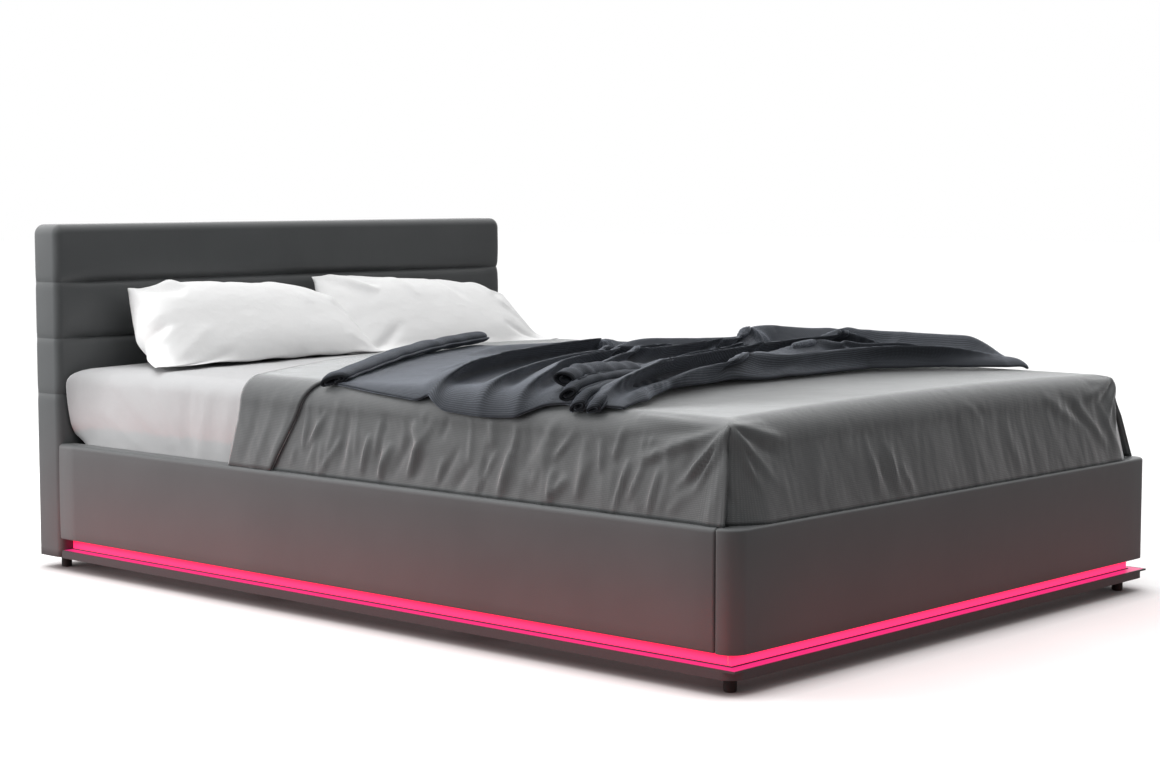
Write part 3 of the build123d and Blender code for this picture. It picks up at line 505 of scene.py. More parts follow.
# %% [markdown]
# ## A layer of bedding
#
# The corners of a layer are fans between a side and an end, so the cloth turns round the
# mattress's corner without a gap. A layer that is tucked gets a parcel fold there: the cloth
# stands proud on one side of the fold and passes under itself on the other. Numpy's interp reads
# the two runs of values that draw the fold.

# %% Bedding layer
FAN_COLUMNS = 40
FOLD_START = 0.12             # share of the drop at which the parcel fold begins
PROUD_SHARES = (0, 0.12, 0.30, 0.38, 0.60, 1)
PROUD = (0, 0.1, 0.6, -0.9, -0.8, 0)
OVERLAP_SHARES = (0, 0.14, 0.30, 0.38, 0.60, 1)
OVERLAP = (0, 0, 1.2, -1.2, 0, 0)


def cloth_grid(bm, columns, rows, lay, uv_of):
    """Add a grid whose vertices are laid by a function of two shares, with a UV map in metres."""
    made = bmesh.ops.create_grid(bm, x_segments=columns, y_segments=rows, size=0.5)["verts"]
    layer = bm.loops.layers.uv.verify()
    shares = {v: (v.co.x + 0.5, v.co.y + 0.5) for v in made}
    for face in {f for v in made for f in v.link_faces}:
        for loop in face.loops:
            loop[layer].uv = uv_of(*shares[loop.vert])
    for v in made:
        v.co = lay(*shares[v])


def face_up(bm):
    """Turn a cloth's faces to the upper side."""
    bmesh.ops.recalc_face_normals(bm, faces=bm.faces)
    if sum(f.normal.z * f.calc_area() for f in bm.faces) < 0:
        bmesh.ops.reverse_faces(bm, faces=bm.faces)


def bed_layer(grow, base, head_at, foot_at, columns, rows, drops, ends=(1,), tuck=0.0, square=5.0):
    """A layer of bedding: a top, two sides, and a skirt at the head (-1) and foot (1) where asked."""
    drop = drop_of(grow, base)
    lines = {1: FOOT_LINE, -1: HEAD_LINE}
    bm = bmesh.new()

    def reach(x, share, down=0.0):
        """Distance from the headboard at a share of the layer's length."""
        return head_at(x, down) * (1 - share) + foot_at(x, down) * share

    def corner_way(turn, end, side):
        """Direction at an angle round a corner that is between round and square."""
        stretch = (abs(math.cos(turn)) ** square + abs(math.sin(turn)) ** square) ** (-1 / square)
        return side * math.cos(turn) * stretch, end * math.sin(turn) * stretch

    def corner(share, down, end, side):
        """Point of a corner's fan, with its parcel fold."""
        full = max(0.0, down - FOLD_START) * 2.2
        ramp = tuck * min(1.0, full)
        proud = float(np.interp(share, PROUD_SHARES, PROUD))
        proud *= ramp if proud > 0 else tuck * min(2.2, full)
        sideways = ramp * float(np.interp(share, OVERLAP_SHARES, OVERLAP))
        turn = share * math.pi / 2
        point = over_shoulder((side * FLAT, lines[end]), corner_way(turn, end, side), down * drop, grow, base,
                              proud)
        return point + Vector((-side * math.sin(turn), -end * math.cos(turn), 0)) * sideways

    cloth_grid(bm, columns, rows,
               lambda p, q: Vector(((2 * p - 1) * FLAT, HEAD_FACE - reach((2 * p - 1) * FLAT, q),
                                    TOP + grow + crown((2 * p - 1) * FLAT))),
               lambda p, q: ((2 * p - 1) * FLAT, reach((2 * p - 1) * FLAT, q)))
    for side in (-1, 1):
        cloth_grid(bm, rows, drops,
                   lambda p, q: over_shoulder((side * FLAT, reach(side * FLAT, p, q)), (side, 0), q * drop,
                                              grow, base),
                   lambda p, q: (side * (FLAT + q * drop), reach(side * FLAT, p, q)))
        for end in ends:
            cloth_grid(bm, FAN_COLUMNS, drops,
                       lambda p, q: corner(p, q, end, side),
                       lambda p, q: (side * (FLAT + q * drop), lines[end] + end * p * math.pi / 2 * SHOULDER))
    for end in ends:
        cloth_grid(bm, columns, drops,
                   lambda p, q: over_shoulder(((2 * p - 1) * FLAT, lines[end]), (0, end), q * drop,
                                              grow, base),
                   lambda p, q: ((2 * p - 1) * FLAT, lines[end] + end * q * drop))
    bmesh.ops.remove_doubles(bm, verts=bm.verts, dist=0.0004)
    face_up(bm)
    return bm

# %% [markdown]
# ## Folds
#
# A fold in cloth is a ridge along a line, sharper on one side and fading at both ends. Each one
# is a pair of points and a height and width, and every vertex near the line moves along its own
# normal. Drape folds down the sides are close and irregular, so their places come from a seeded
# generator.

# %% Fold helper
def press_folds(piece_made, folds, cap):
    """Move the vertices near each fold line (start, end, width, height) along their normals."""
    mesh = piece_made.data
    count = len(mesh.vertices)
    points = np.zeros(count * 3)
    normals = np.zeros(count * 3)
    mesh.vertices.foreach_get("co", points)
    mesh.vertices.foreach_get("normal", normals)
    points, normals = points.reshape(-1, 3), normals.reshape(-1, 3)
    moved = np.zeros(count)
    for start, end, width, height in folds:
        a, b = np.array(start), np.array(end)
        along = (points - a) @ (b - a) / ((b - a) @ (b - a))
        nearest = a + np.clip(along, 0, 1)[:, None] * (b - a)
        away = np.linalg.norm(points - nearest, axis=1)
        fade = np.clip(np.sin(np.pi * np.clip(along * 0.9 + 0.05, 0.0, 1.0)), 0, 1) ** 0.6
        moved += height * fade * np.exp(-(away / width) ** 2)
    points += normals * np.clip(moved, -cap, cap)[:, None]
    mesh.vertices.foreach_set("co", points.ravel())
    mesh.update()
    print(piece_made.name, len(folds), "folds")


def side_line(side, reach_top, top, reach_low, low, out=0.703, flare=0.0):
    """Two points of a fold on the bed's side, from their reaches and heights."""
    return ((side * (out + flare * low_share(top)), HEAD_FACE - reach_top, top),
            (side * (out + flare * low_share(low)), HEAD_FACE - reach_low, low))


def thicken(piece_made, thickness, offset=-1.0):
    """Give a cloth its thickness with a Solidify modifier."""
    solid = piece_made.modifiers.new("thickness", "SOLIDIFY")
    solid.thickness = thickness
    solid.offset = offset
    solid.use_even_offset = False


def pull_corner(piece_made, place, towards, spread, amount):
    """Draw the cloth near one place towards a point, which makes a corner of it."""
    place, towards = Vector(place), Vector(towards)
    for v in piece_made.data.vertices:
        share = amount * math.exp(-((v.co - place).length / spread) ** 2)
        if share > 0.002:
            v.co += (towards - v.co) * share
    piece_made.data.update()

# %% [markdown]
# ## Cotton and knit finishes
#
# The white bed linen is cotton: the sheet is percale, a plain weave, and the pillow cases are
# sateen, which is smoother. Both are matt and never quite flat. The duvet cover is a coarser grey
# weave that catches light along its folds, which the sheen gives, and finer folds run slantwise
# down its sides. The throw is a dark blue-grey knit with ribs. Real threads are 0.3 mm apart and
# real ribs 3 mm. They are drawn at 2 to 4 mm, so that they still show from where the camera
# stands. Patterns read the UV map in metres, so the threads follow the cloth.

# %% Woven finishes
DRAPE_SLANT = -32             # degrees by which the fine folds lean
DRAPE_SIZE = (0.075, 0.075, 0.40)     # their size along each axis
DRAPE_HEIGHT = 0.44           # height below which they are at full depth


def weave(tree, coords, thread):
    """Height of a plain weave with this thread spacing in metres, from the UV map."""
    across, along = (add(tree, "TexWave", {"Vector": coords["UV"],
                                           "Scale": 1 / (math.pi * thread)}, bands_direction=axis)
                     for axis in "XY")
    both = add(tree, "Math", {0: across.outputs["Fac"], 1: along.outputs["Fac"]}, operation="MULTIPLY")
    return both


def drape_lines(tree, coords, under, depth):
    """Fine slanting folds that deepen from the bed's top down its sides."""
    placed = add(tree, "Mapping", {"Vector": coords["Object"], "Scale": DRAPE_SIZE,
                                   "Rotation": (math.radians(DRAPE_SLANT), 0, 0)},
                 vector_type="TEXTURE")
    lines = add(tree, "TexNoise", {"Vector": placed, "Scale": 1.0, "Detail": 2.0})
    place = add(tree, "SeparateXYZ", {0: coords["Object"]})
    side = add(tree, "MapRange", {"Value": place.outputs["Z"], "From Min": TOP,
                                  "From Max": DRAPE_HEIGHT, "To Max": depth})
    return add(tree, "Bump", {"Height": lines.outputs["Fac"], "Normal": under, "Strength": 1.0,
                              "Distance": side})


def cloth_finish(name, dark, light, thread, thread_depth, crumple, crumple_depth, rough, sheen=0.0,
                 sheen_tint="#ffffff", gloss=0.2, sheen_rough=0.4, drape=0.0):
    """A woven cloth: thread pattern, soft crumples, two tones and sheen. Sizes and depths are in metres."""
    finish, tree, coords = new_finish(name)
    threads = weave(tree, coords, thread)
    crumples = add(tree, "TexNoise", {"Vector": coords["Object"], "Scale": 1 / crumple,
                                      "Detail": 4.0, "Roughness": 0.5})
    tone = add(tree, "Mix", {0: threads, 6: linear(dark), 7: linear(light)}, data_type="RGBA")
    soft = add(tree, "Bump", {"Height": crumples.outputs["Fac"], "Strength": 0.6,
                              "Distance": crumple_depth})
    if drape:
        soft = drape_lines(tree, coords, soft, drape)
    woven = add(tree, "Bump", {"Height": threads, "Normal": soft, "Strength": 0.5,
                               "Distance": thread_depth})
    surface = add(tree, "BsdfPrincipled", {"Base Color": tone.outputs[2], "Roughness": rough,
                                           "Normal": woven, "Sheen Weight": sheen,
                                           "Sheen Roughness": sheen_rough,
                                           "Sheen Tint": linear(sheen_tint),
                                           "Specular IOR Level": gloss})
    close_finish(tree, surface)
    print(name, "threads", thread * 1000, "mm")
    return finish


percale = cloth_finish("cotton_percale_white", "#a8a8a9", "#b1b1b2", thread=0.0022, thread_depth=0.0003,
                       crumple=0.11, crumple_depth=0.006, rough=0.85)
sateen = cloth_finish("cotton_sateen_white", "#dadada", "#e3e3e3", thread=0.0020, thread_depth=0.0002,
                      crumple=0.07, crumple_depth=0.007, rough=0.9)
duvet_weave = cloth_finish("cotton_weave_grey", "#3e4041", "#4b4d4e", thread=0.0034, thread_depth=0.0005,
                           crumple=0.09, crumple_depth=0.004, rough=0.50, sheen=1.0, sheen_tint="#f6f8f9",
                           gloss=1.0, sheen_rough=0.30, drape=0.012)
rib_face = cloth_finish("rib_knit_face", "#16181c", "#2c3037", thread=0.0042, thread_depth=0.0016,
                        crumple=0.05, crumple_depth=0.004, rough=0.8, sheen=0.6, sheen_tint="#8f96a3",
                        gloss=0.3)
rib_knit = cloth_finish("rib_knit_blue_grey", "#1f2227", "#3a3f48", thread=0.0042, thread_depth=0.0012,
                        crumple=0.06, crumple_depth=0.004, rough=0.75, sheen=0.7, sheen_tint="#a9b0bd",
                        gloss=0.5)

# %% [markdown]
# ## Fitted sheet
#
# The sheet is pulled tight over the mattress and tucked beside it. It strains in long slanting
# folds towards the tucks. At the head its corners are drawn out to the width of the box, as they
# are when the elastic pulls the sheet down between the mattress and the headboard.

# %% Fitted sheet
SHEET = 0.0033
SHEET_BASE = 0.268
SHEET_FOLDS = (       # reach and height of each end, width, height of the fold, in millimetres
    (140, 470, 360, 320, 14, 6), (200, 460, 410, 310, 10, 6), (100, 400, 240, 310, 14, 4),
    (300, 460, 420, 330, 13, 5), (420, 470, 430, 310, 12, -5), (500, 470, 470, 310, 12, 5),
    (580, 460, 550, 310, 12, 4), (340, 380, 400, 310, 7, -5), (50, 470, 120, 310, 12, 4),
    (630, 450, 620, 310, 10, 3))
TOP_FOLDS = ((-0.55, 0.20, 0.62, 0.002), (-0.35, 0.25, 0.60, -0.002), (-0.62, 0.35, 0.66, 0.002))
CORNER_PULL, CORNER_SPREAD = 0.86, 0.046
CORNER_HEIGHTS = (0.31, 0.36, 0.42, 0.474)
CORNER_OUT = (0.712, 0.738, 0.750, 0.758)     # how far out the corner stands at those heights

sheet_form = bed_layer(SHEET, SHEET_BASE, lambda x, d: HEAD_LINE, lambda x, d: FOOT_LINE, 70, 110, 26,
                       ends=(1, -1), square=2.1)
fitted = piece("bed_sheet", sheet_form, percale, "lift_base", ["fitted_sheet"])
sheet_folds = []
for side in (-1, 1):
    for reach_top, top, reach_low, low, width, height in SHEET_FOLDS:
        line = side_line(side, reach_top / 1000, top / 1000, reach_low / 1000, low / 1000)
        sheet_folds.append((*line, width / 1000, height / 1000))
for x, reach_low, reach_high, height in TOP_FOLDS:
    sheet_folds.append(((x, HEAD_FACE - reach_low, 0.497), (x + 0.05, HEAD_FACE - reach_high, 0.497), 0.03,
                        height))
press_folds(fitted, sheet_folds, cap=0.006)
for side in (-1, 1):
    for v in fitted.data.vertices:
        away = math.hypot(v.co.x - side * HALF, v.co.y - HEAD_FACE + 0.024)
        share = CORNER_PULL * math.exp(-(away / CORNER_SPREAD) ** 2) * clamp((v.co.z - 0.285) / 0.05)
        out = float(np.interp(v.co.z, CORNER_HEIGHTS, CORNER_OUT))
        v.co += (Vector((side * out, HEAD_FACE - 0.002, v.co.z - 0.006)) - v.co) * share
fitted.data.update()
thicken(fitted, 0.0026)

# %% [markdown]
# ## Duvet
#
# The duvet cover reaches from a diagonal edge near the pillows down to the rails on three sides.
# Its sides fall in close, irregular folds, so their places come from a seeded generator. The
# folds of the foot end and of the corners are few and large, so they are listed. Its corners are
# folded like a parcel, and every fold there starts from the point of the corner. The turned-back
# band at the head is its own layer, thicker and rounder at its edges.

# %% Duvet
DUVET = 0.0116
DUVET_BASE = 0.3090
FOLD_FAMILIES = (     # heights at which folds start and end, their pitch, and how strong they are
    ((0.43, 0.485), (0.36, 0.42), (0.030, 0.085), 1.0),
    ((0.36, 0.42), (0.308, 0.330), (0.016, 0.058), 1.1),
    ((0.44, 0.48), (0.312, 0.34), (0.07, 0.19), 1.3))
FOLD_HEIGHTS = (0.0025, 0.004, 0.005, 0.0065, 0.008, -0.004)
FOLDS_FROM, FOLDS_TO = 0.80, 1.90
SIDE_OUT, FOOT_OUT = 0.715, 2.026     # where the duvet's side and its foot hang
FOOT_FOLDS = (        # place across and height at the top, run, height at the foot, width, fold's height
    (-300, 430, 10, 318, 9, 6), (-270, 400, 20, 318, 7, -5), (-235, 420, 15, 318, 8, 7),
    (-200, 380, 20, 318, 7, 5), (50, 485, 60, 460, 9, 4), (80, 480, 50, 450, 8, -4),
    (380, 470, 120, 400, 13, 5), (450, 470, 110, 380, 11, -4), (500, 460, 100, 350, 12, 6),
    (600, 460, 50, 330, 11, 5), (-450, 450, -40, 340, 16, 3), (200, 440, 30, 330, 16, 3))
CORNER_FOLDS = (      # place across, reach and height of the far end, width, fold's height
    (728, 1875, 330, 8, 12), (730, 1900, 318, 8, -6), (728, 1930, 330, 7, 9), (716, 1800, 410, 10, 7),
    (715, 1750, 450, 11, -5), (690, 1780, 492, 11, 7), (600, 2010, 490, 11, 7), (560, 2024, 455, 10, 7),
    (590, 2024, 425, 8, -6), (600, 2032, 370, 9, 8), (640, 2037, 340, 8, 6))


def duvet_head(x, down=0.0):
    """Reach of the duvet's head edge, nearest the pillows on the right of the bed."""
    return 0.340 + 0.315 * ((0.72 - max(-0.72, min(0.72, x))) / 1.44) ** 2


duvet_form = bed_layer(DUVET, DUVET_BASE, duvet_head, lambda x, d: FOOT_LINE, 120, 228, 32, tuck=0.014)
duvet = piece("duvet_cover", duvet_form, duvet_weave, "lift_base", ["duvet"])

drape = random.Random(7)
duvet_folds = []
for side in (-1, 1):
    for top_range, low_range, pitch, strength in FOLD_FAMILIES:
        reach = FOLDS_FROM
        while reach < FOLDS_TO:
            reach += drape.uniform(*pitch)
            lean = drape.uniform(-0.020, 0.045)
            line = side_line(side, reach, drape.uniform(*top_range), reach - lean, drape.uniform(*low_range),
                             SIDE_OUT, FLARE)
            height = strength * drape.choice(FOLD_HEIGHTS)
            duvet_folds.append((*line, drape.uniform(0.006, 0.013), height))
for x, top, run, low, width, height in FOOT_FOLDS:
    line = [(place / 1000, HEAD_FACE - FOOT_OUT - FLARE * low_share(level / 1000), level / 1000)
            for place, level in ((x, top), (x + run, low))]
    duvet_folds.append((*line, width / 1000, height / 1000))
for side in (-1, 1):
    corner = (side * 0.706, HEAD_FACE - 2.012, 0.490)
    for x, reach, level, width, height in CORNER_FOLDS:
        end = (side * x / 1000, HEAD_FACE - reach / 1000, level / 1000)
        duvet_folds.append((corner, end, width / 1000, height / 1000))
press_folds(duvet, duvet_folds, cap=0.014)
for side in (-1, 1):
    pull_corner(duvet, (side * 0.690, HEAD_FACE - 2.000, 0.484), (side * 0.703, HEAD_FACE - 2.014, 0.496),
                spread=0.036, amount=0.5)
thicken(duvet, 0.005)

# %% Turned-back band
BAND = 0.0189
BAND_OUT = 0.723
BAND_FOLDS = ((160, 120, 10, 6), (50, 30, 14, -4), (100, 70, 12, 4), (200, 150, 8, 4))


def band_foot(x, down=0.0):
    """Reach of the band's free edge: nearer the head at the rail than on the top."""
    return duvet_head(x) + 0.235 - 0.09 * down


band_form = bed_layer(BAND, DUVET_BASE, duvet_head, band_foot, 110, 24, 26, ends=())
band = piece("duvet_band", band_form, duvet_weave, "lift_base", ["duvet_fold"])
band_folds = []
for side in (-1, 1):
    head = duvet_head(side * HALF)
    for top, low, width, height in BAND_FOLDS:
        line = side_line(side, head + top / 1000, 0.47, head + low / 1000, 0.315, BAND_OUT, FLARE)
        band_folds.append((*line, width / 1000, height / 1000))
press_folds(band, band_folds, cap=0.008)
thicken(band, 0.0068)

# %% [markdown]
# ## Throw
#
# The throw lies gathered across the bed. Its edge towards the pillows is rolled, a bundle of
# folds hangs over the near shoulder, and long ridges run from the bundle to the far side. The
# ridges are drawn as bent lines on the bed, in metres across it and from its head. The cloth
# rises over each line and leans to one side, as a fold does under its own weight.

# %% Throw outline
THROW = DUVET + 0.0072
THROW_HEAD = (        # place across, and the reach of the throw's edge there
    (-0.76, 0.905), (-0.68, 0.890), (-0.60, 0.848), (-0.47, 0.768), (-0.30, 0.668), (-0.105, 0.566),
    (0.07, 0.496), (0.16, 0.462), (0.25, 0.680), (0.36, 0.880), (0.50, 1.020), (0.62, 1.100), (0.72, 1.180))
THROW_FOOT = (
    (-0.76, 1.735), (-0.60, 1.725), (-0.45, 1.650), (-0.28, 1.625), (-0.03, 1.640), (0.27, 1.635),
    (0.45, 1.700), (0.60, 1.790), (0.72, 1.800))
THROW_HEM = (         # reach, and how far the near edge hangs down there
    (0.88, 0.022), (0.90, 0.027), (1.04, 0.045), (1.178, 0.058), (1.21, 0.048), (1.235, 0.062),
    (1.27, 0.077), (1.38, 0.083), (1.48, 0.077), (1.53, 0.046), (1.58, 0.032), (1.66, 0.036), (1.75, 0.022))


def interpolate(pairs, place):
    """Value of a run of (place, value) pairs, straight between them."""
    return float(np.interp(place, [p[0] for p in pairs], [p[1] for p in pairs]))


def bed_point(across, reach, grow, rise=0.0):
    """Place on the bedding, measured across it along the cloth, and raised square to it."""
    if abs(across) <= FLAT:
        return Vector((across, HEAD_FACE - reach, TOP + grow + crown(across) + rise))
    side = math.copysign(1, across)
    return over_shoulder((side * FLAT, reach), (side, 0), abs(across) - FLAT, grow, DUVET_BASE, rise)


def bend(line, count=48):
    """A bent line made round: evenly spaced points with its corners averaged out."""
    points = np.array(line, dtype=float)
    run = np.r_[0, np.cumsum(np.linalg.norm(np.diff(points, axis=0), axis=1))]
    even = np.linspace(0, run[-1], count)
    points = np.stack([np.interp(even, run, points[:, i]) for i in range(points.shape[1])], axis=1)
    for _ in range(12):
        points[1:-1] = (points[:-2] + 2 * points[1:-1] + points[2:]) / 4
    return points


print("throw:", len(THROW_HEAD) + len(THROW_FOOT) + len(THROW_HEM), "outline points")

# %% Throw ridges
RIDGES = (            # bent line, height and width in millimetres, lean
    (((-0.74, 1.690), (-0.409, 1.545), (-0.118, 1.465), (0.183, 1.400), (0.495, 1.400), (0.66, 1.46)),
     50, 22, 1.3),
    (((-0.70, 1.560), (-0.480, 1.440), (-0.313, 1.342), (-0.015, 1.228), (0.214, 1.188), (0.54, 1.178)),
     44, 20, 1.2),
    (((-0.80, 1.290), (-0.58, 1.144), (-0.40, 1.050), (-0.271, 0.991), (0.05, 0.890), (0.329, 0.836)),
     44, 19, 1.5),
    (((-0.60, 1.700), (-0.291, 1.590), (-0.032, 1.590), (0.272, 1.590), (0.455, 1.660), (0.64, 1.76)),
     34, 18, 1.0),
    (((-0.66, 1.720), (-0.299, 1.650), (-0.05, 1.575), (0.195, 1.500), (0.614, 1.366)), 34, 17, -0.8),
    (((-0.10, 0.720), (0.05, 0.720), (0.18, 0.780), (0.32, 0.940), (0.46, 1.100)), 20, 22, -0.4),
    (((0.20, 0.900), (0.34, 1.060), (0.50, 1.160), (0.66, 1.220)), 34, 28, 0.3),
    (((0.30, 1.240), (0.47, 1.150), (0.58, 1.230), (0.66, 1.330)), 52, 27, -0.4),
    (((0.64, 1.230), (0.665, 1.400), (0.665, 1.560), (0.650, 1.740)), 50, 28, 0.2),
    (((-0.45, 0.990), (-0.22, 0.890), (0.00, 0.800), (0.24, 0.800)), 12, 14, 0.5),
    (((-0.75, 1.390), (-0.60, 1.330), (-0.45, 1.240), (-0.20, 1.120), (0.10, 1.040), (0.30, 1.050)),
     34, 18, 1.2),
    (((-0.75, 1.500), (-0.62, 1.430), (-0.50, 1.330), (-0.30, 1.230), (0.00, 1.130), (0.30, 1.120)),
     42, 17, 1.3),
    (((-0.55, 1.600), (-0.30, 1.470), (-0.10, 1.370), (0.20, 1.300), (0.50, 1.290)), 38, 16, 1.4),
    (((0.10, 1.520), (0.30, 1.450), (0.50, 1.500), (0.62, 1.600)), 30, 18, 0.8),
    (((-0.40, 1.540), (-0.20, 1.330), (-0.05, 1.120), (0.10, 0.950)), 20, 15, -0.9),
    (((0.00, 1.480), (0.14, 1.300), (0.24, 1.150), (0.28, 1.000)), 24, 17, 0.9),
    (((0.34, 1.600), (0.42, 1.430), (0.46, 1.300)), 22, 16, -0.8),
)
SMALL_RIDGES = 34             # small folds beside the main ones

ridges = list(RIDGES)
small = random.Random(11)
for _ in range(SMALL_RIDGES):
    points = bend(small.choice(RIDGES)[0])
    shift = small.uniform(-0.07, 0.07)
    start = small.randrange(0, 30)
    stop = start + small.randrange(12, 18)
    ridges.append((tuple((p[0] + shift * 0.4, p[1] + shift) for p in points[start:stop]),
                   small.uniform(4, 9), small.uniform(7, 12), small.uniform(-0.5, 0.9)))


def raise_ridges(places):
    """Rise and sideways lean of the throw at many places (across, reach)."""
    rise = np.zeros(len(places))
    shift = np.zeros((len(places), 2))
    for line, height, width, lean in ridges:
        points = bend(line)
        run = np.gradient(points, axis=0)
        run /= np.linalg.norm(run, axis=1)[:, None]
        normal = np.stack([-run[:, 1], run[:, 0]], axis=1)
        nearest = np.hypot(*np.moveaxis(places[:, None, :] - points[None, :, :], 2, 0)).argmin(axis=1)
        gap = places - points[nearest]
        past = np.clip(np.abs((gap * run[nearest]).sum(axis=1)) - np.hypot(*(points[1] - points[0])), 0, None)
        away = np.hypot((gap * normal[nearest]).sum(axis=1), past)
        end = np.minimum(nearest, len(points) - 1 - nearest) / (len(points) - 1)
        bump = np.exp(-(away / width * 1000) ** 1.7) * np.sin(np.pi / 2 * np.clip(end * 5 + 0.04, 0, 1))
        rise = np.maximum(rise, height / 1000 * bump) + 0.35 * np.minimum(rise, height / 1000 * bump)
        shift += (lean * height / 1000 * bump ** 1.5)[:, None] * normal[nearest]
    return rise, shift


print(len(ridges), "ridges")

# %% [markdown]
# ## The throw's cloth
#
# The throw starts as a grid between its head edge, its foot edge and its near hem. It lies double
# towards the foot, so it is higher there. Its ridges fade at its edges, which lie flat, and three
# rounds of smoothing take the stretched faces out of the steepest folds.

# %% Throw
THROW_COLUMNS, THROW_ROWS = 230, 170
NEAR_LAP, FAR_LAP = 0.04, 0.035       # how far the grid starts past the flat top on each side
HANG_START = 0.12             # distance from the near shoulder at which the hem's drop is shared out
DOUBLED_FROM, DOUBLED_OVER = 1.05, 0.3
EDGE_FADE, SIDE_FADE = 0.010, 0.06
GRID_WIDTH = 1.3              # across the bed, for the distance to the hem
CLOTH_LENGTH, CLOTH_WIDTH = 1.62, 1.30      # of its UV map, in metres

near = -FLAT + HANG_START
places, edges = [], []
for row in range(THROW_ROWS + 1):
    for column in range(THROW_COLUMNS + 1):
        p, q = column / THROW_COLUMNS, row / THROW_ROWS
        across = -FLAT - NEAR_LAP + p * (2 * FLAT + NEAR_LAP + FAR_LAP)
        head = interpolate(THROW_HEAD, across)
        reach = head + q * (interpolate(THROW_FOOT, across) - head)
        if across < near:
            share = (near - across) / (HANG_START + NEAR_LAP)
            across = near - share * (HANG_START + interpolate(THROW_HEM, reach))
        places.append((across, reach))
        edges.append((min(q, 1 - q) * (interpolate(THROW_FOOT, across) - head), p * GRID_WIDTH))
places, edges = np.array(places), np.array(edges)
rise, lean = raise_ridges(places)
doubled = np.clip((places[:, 1] - DOUBLED_FROM) / DOUBLED_OVER, 0, 1)
layers = 0.004 + 0.010 * doubled + 0.006 * np.clip(places[:, 0] * 3, 0, 1)
free = 1 - np.exp(-edges[:, 0] / EDGE_FADE)
hanging = np.clip(edges[:, 1] / SIDE_FADE, 0, 1)
rise = (rise + layers) * free * (0.25 + 0.75 * hanging)
places += lean * (free * hanging)[:, None]

laid = [bed_point(across, reach, THROW, height) for (across, reach), height in zip(places, rise)]
bm = bmesh.new()
cloth_grid(bm, THROW_COLUMNS, THROW_ROWS,
           lambda p, q: laid[round(q * THROW_ROWS) * (THROW_COLUMNS + 1) + round(p * THROW_COLUMNS)],
           lambda p, q: (p * CLOTH_LENGTH, q * CLOTH_WIDTH))
face_up(bm)
for _ in range(3):
    bmesh.ops.smooth_vert(bm, verts=bm.verts, factor=0.5, use_axis_x=True, use_axis_y=True, use_axis_z=True)
throw = piece("throw_blanket", bm, rib_knit, "lift_base", ["throw"])
thicken(throw, 0.005)

# %% [markdown]
# ## Rolls in the throw
#
# Where the throw is rolled or bundled, its layers show end-on. Each roll is a spiral section
# swept along a line on the bed. The spiral is flattened, because the roll rests on its own weight.

# %% Throw rolls
ROLL_POINTS = 60
ROLLS = {     # line (across, reach, rise), seed, and turns, radius, its gain, pitch, height, its gain, lean
    "throw_head_roll": (
        ((-0.684, 0.905, 0.009), (-0.60, 0.862, 0.012), (-0.469, 0.785, 0.015), (-0.30, 0.685, 0.018),
         (-0.105, 0.580, 0.020), (0.07, 0.510, 0.022), (0.19, 0.470, 0.025)),
        3, (2.2, 0.028, 0.004, 0.0080, 0.38, 0.12, 0.25)),
    "throw_bundle_top": (
        ((-0.664, 1.568, 0.043), (-0.62, 1.550, 0.047), (-0.54, 1.520, 0.044), (-0.42, 1.490, 0.034),
         (-0.30, 1.460, 0.018)),
        5, (1.7, 0.022, 0.006, 0.0095, 0.85, 0, -0.45)),
    "throw_bundle_back": (
        ((-0.684, 1.598, 0.024), (-0.65, 1.584, 0.029), (-0.57, 1.556, 0.030), (-0.44, 1.516, 0.022),
         (-0.34, 1.480, 0.012)),
        9, (1.5, 0.020, 0.006, 0.0090, 0.80, 0, 0.45)),
    "throw_bundle_low": (
        ((-0.700, 1.632, 0.010), (-0.67, 1.624, 0.015), (-0.60, 1.602, 0.019), (-0.48, 1.568, 0.018),
         (-0.36, 1.530, 0.010)),
        8, (1.6, 0.018, 0.007, 0.0085, 0.78, 0, 0.60)),
    "throw_bundle_tail": (
        ((-0.700, 1.670, 0.006), (-0.67, 1.664, 0.010), (-0.60, 1.645, 0.015), (-0.48, 1.610, 0.015),
         (-0.36, 1.580, 0.008)),
        4, (1.2, 0.015, 0.008, 0.0070, 0.66, 0, 0.5)),
}


def spiral(turns, outer, pitch, squash, lean, count=64):
    """Points (sideways, up) of a flattened spiral that ends at its outer turn."""
    points = []
    for i in range(count + 1):
        angle = -turns * 2 * math.pi * (1 - i / count)
        radius = outer + angle / (2 * math.pi) * pitch
        points.append((radius * math.cos(angle) * 1.15 + lean * radius * math.sin(angle),
                       radius * squash * math.sin(angle)))
    return points


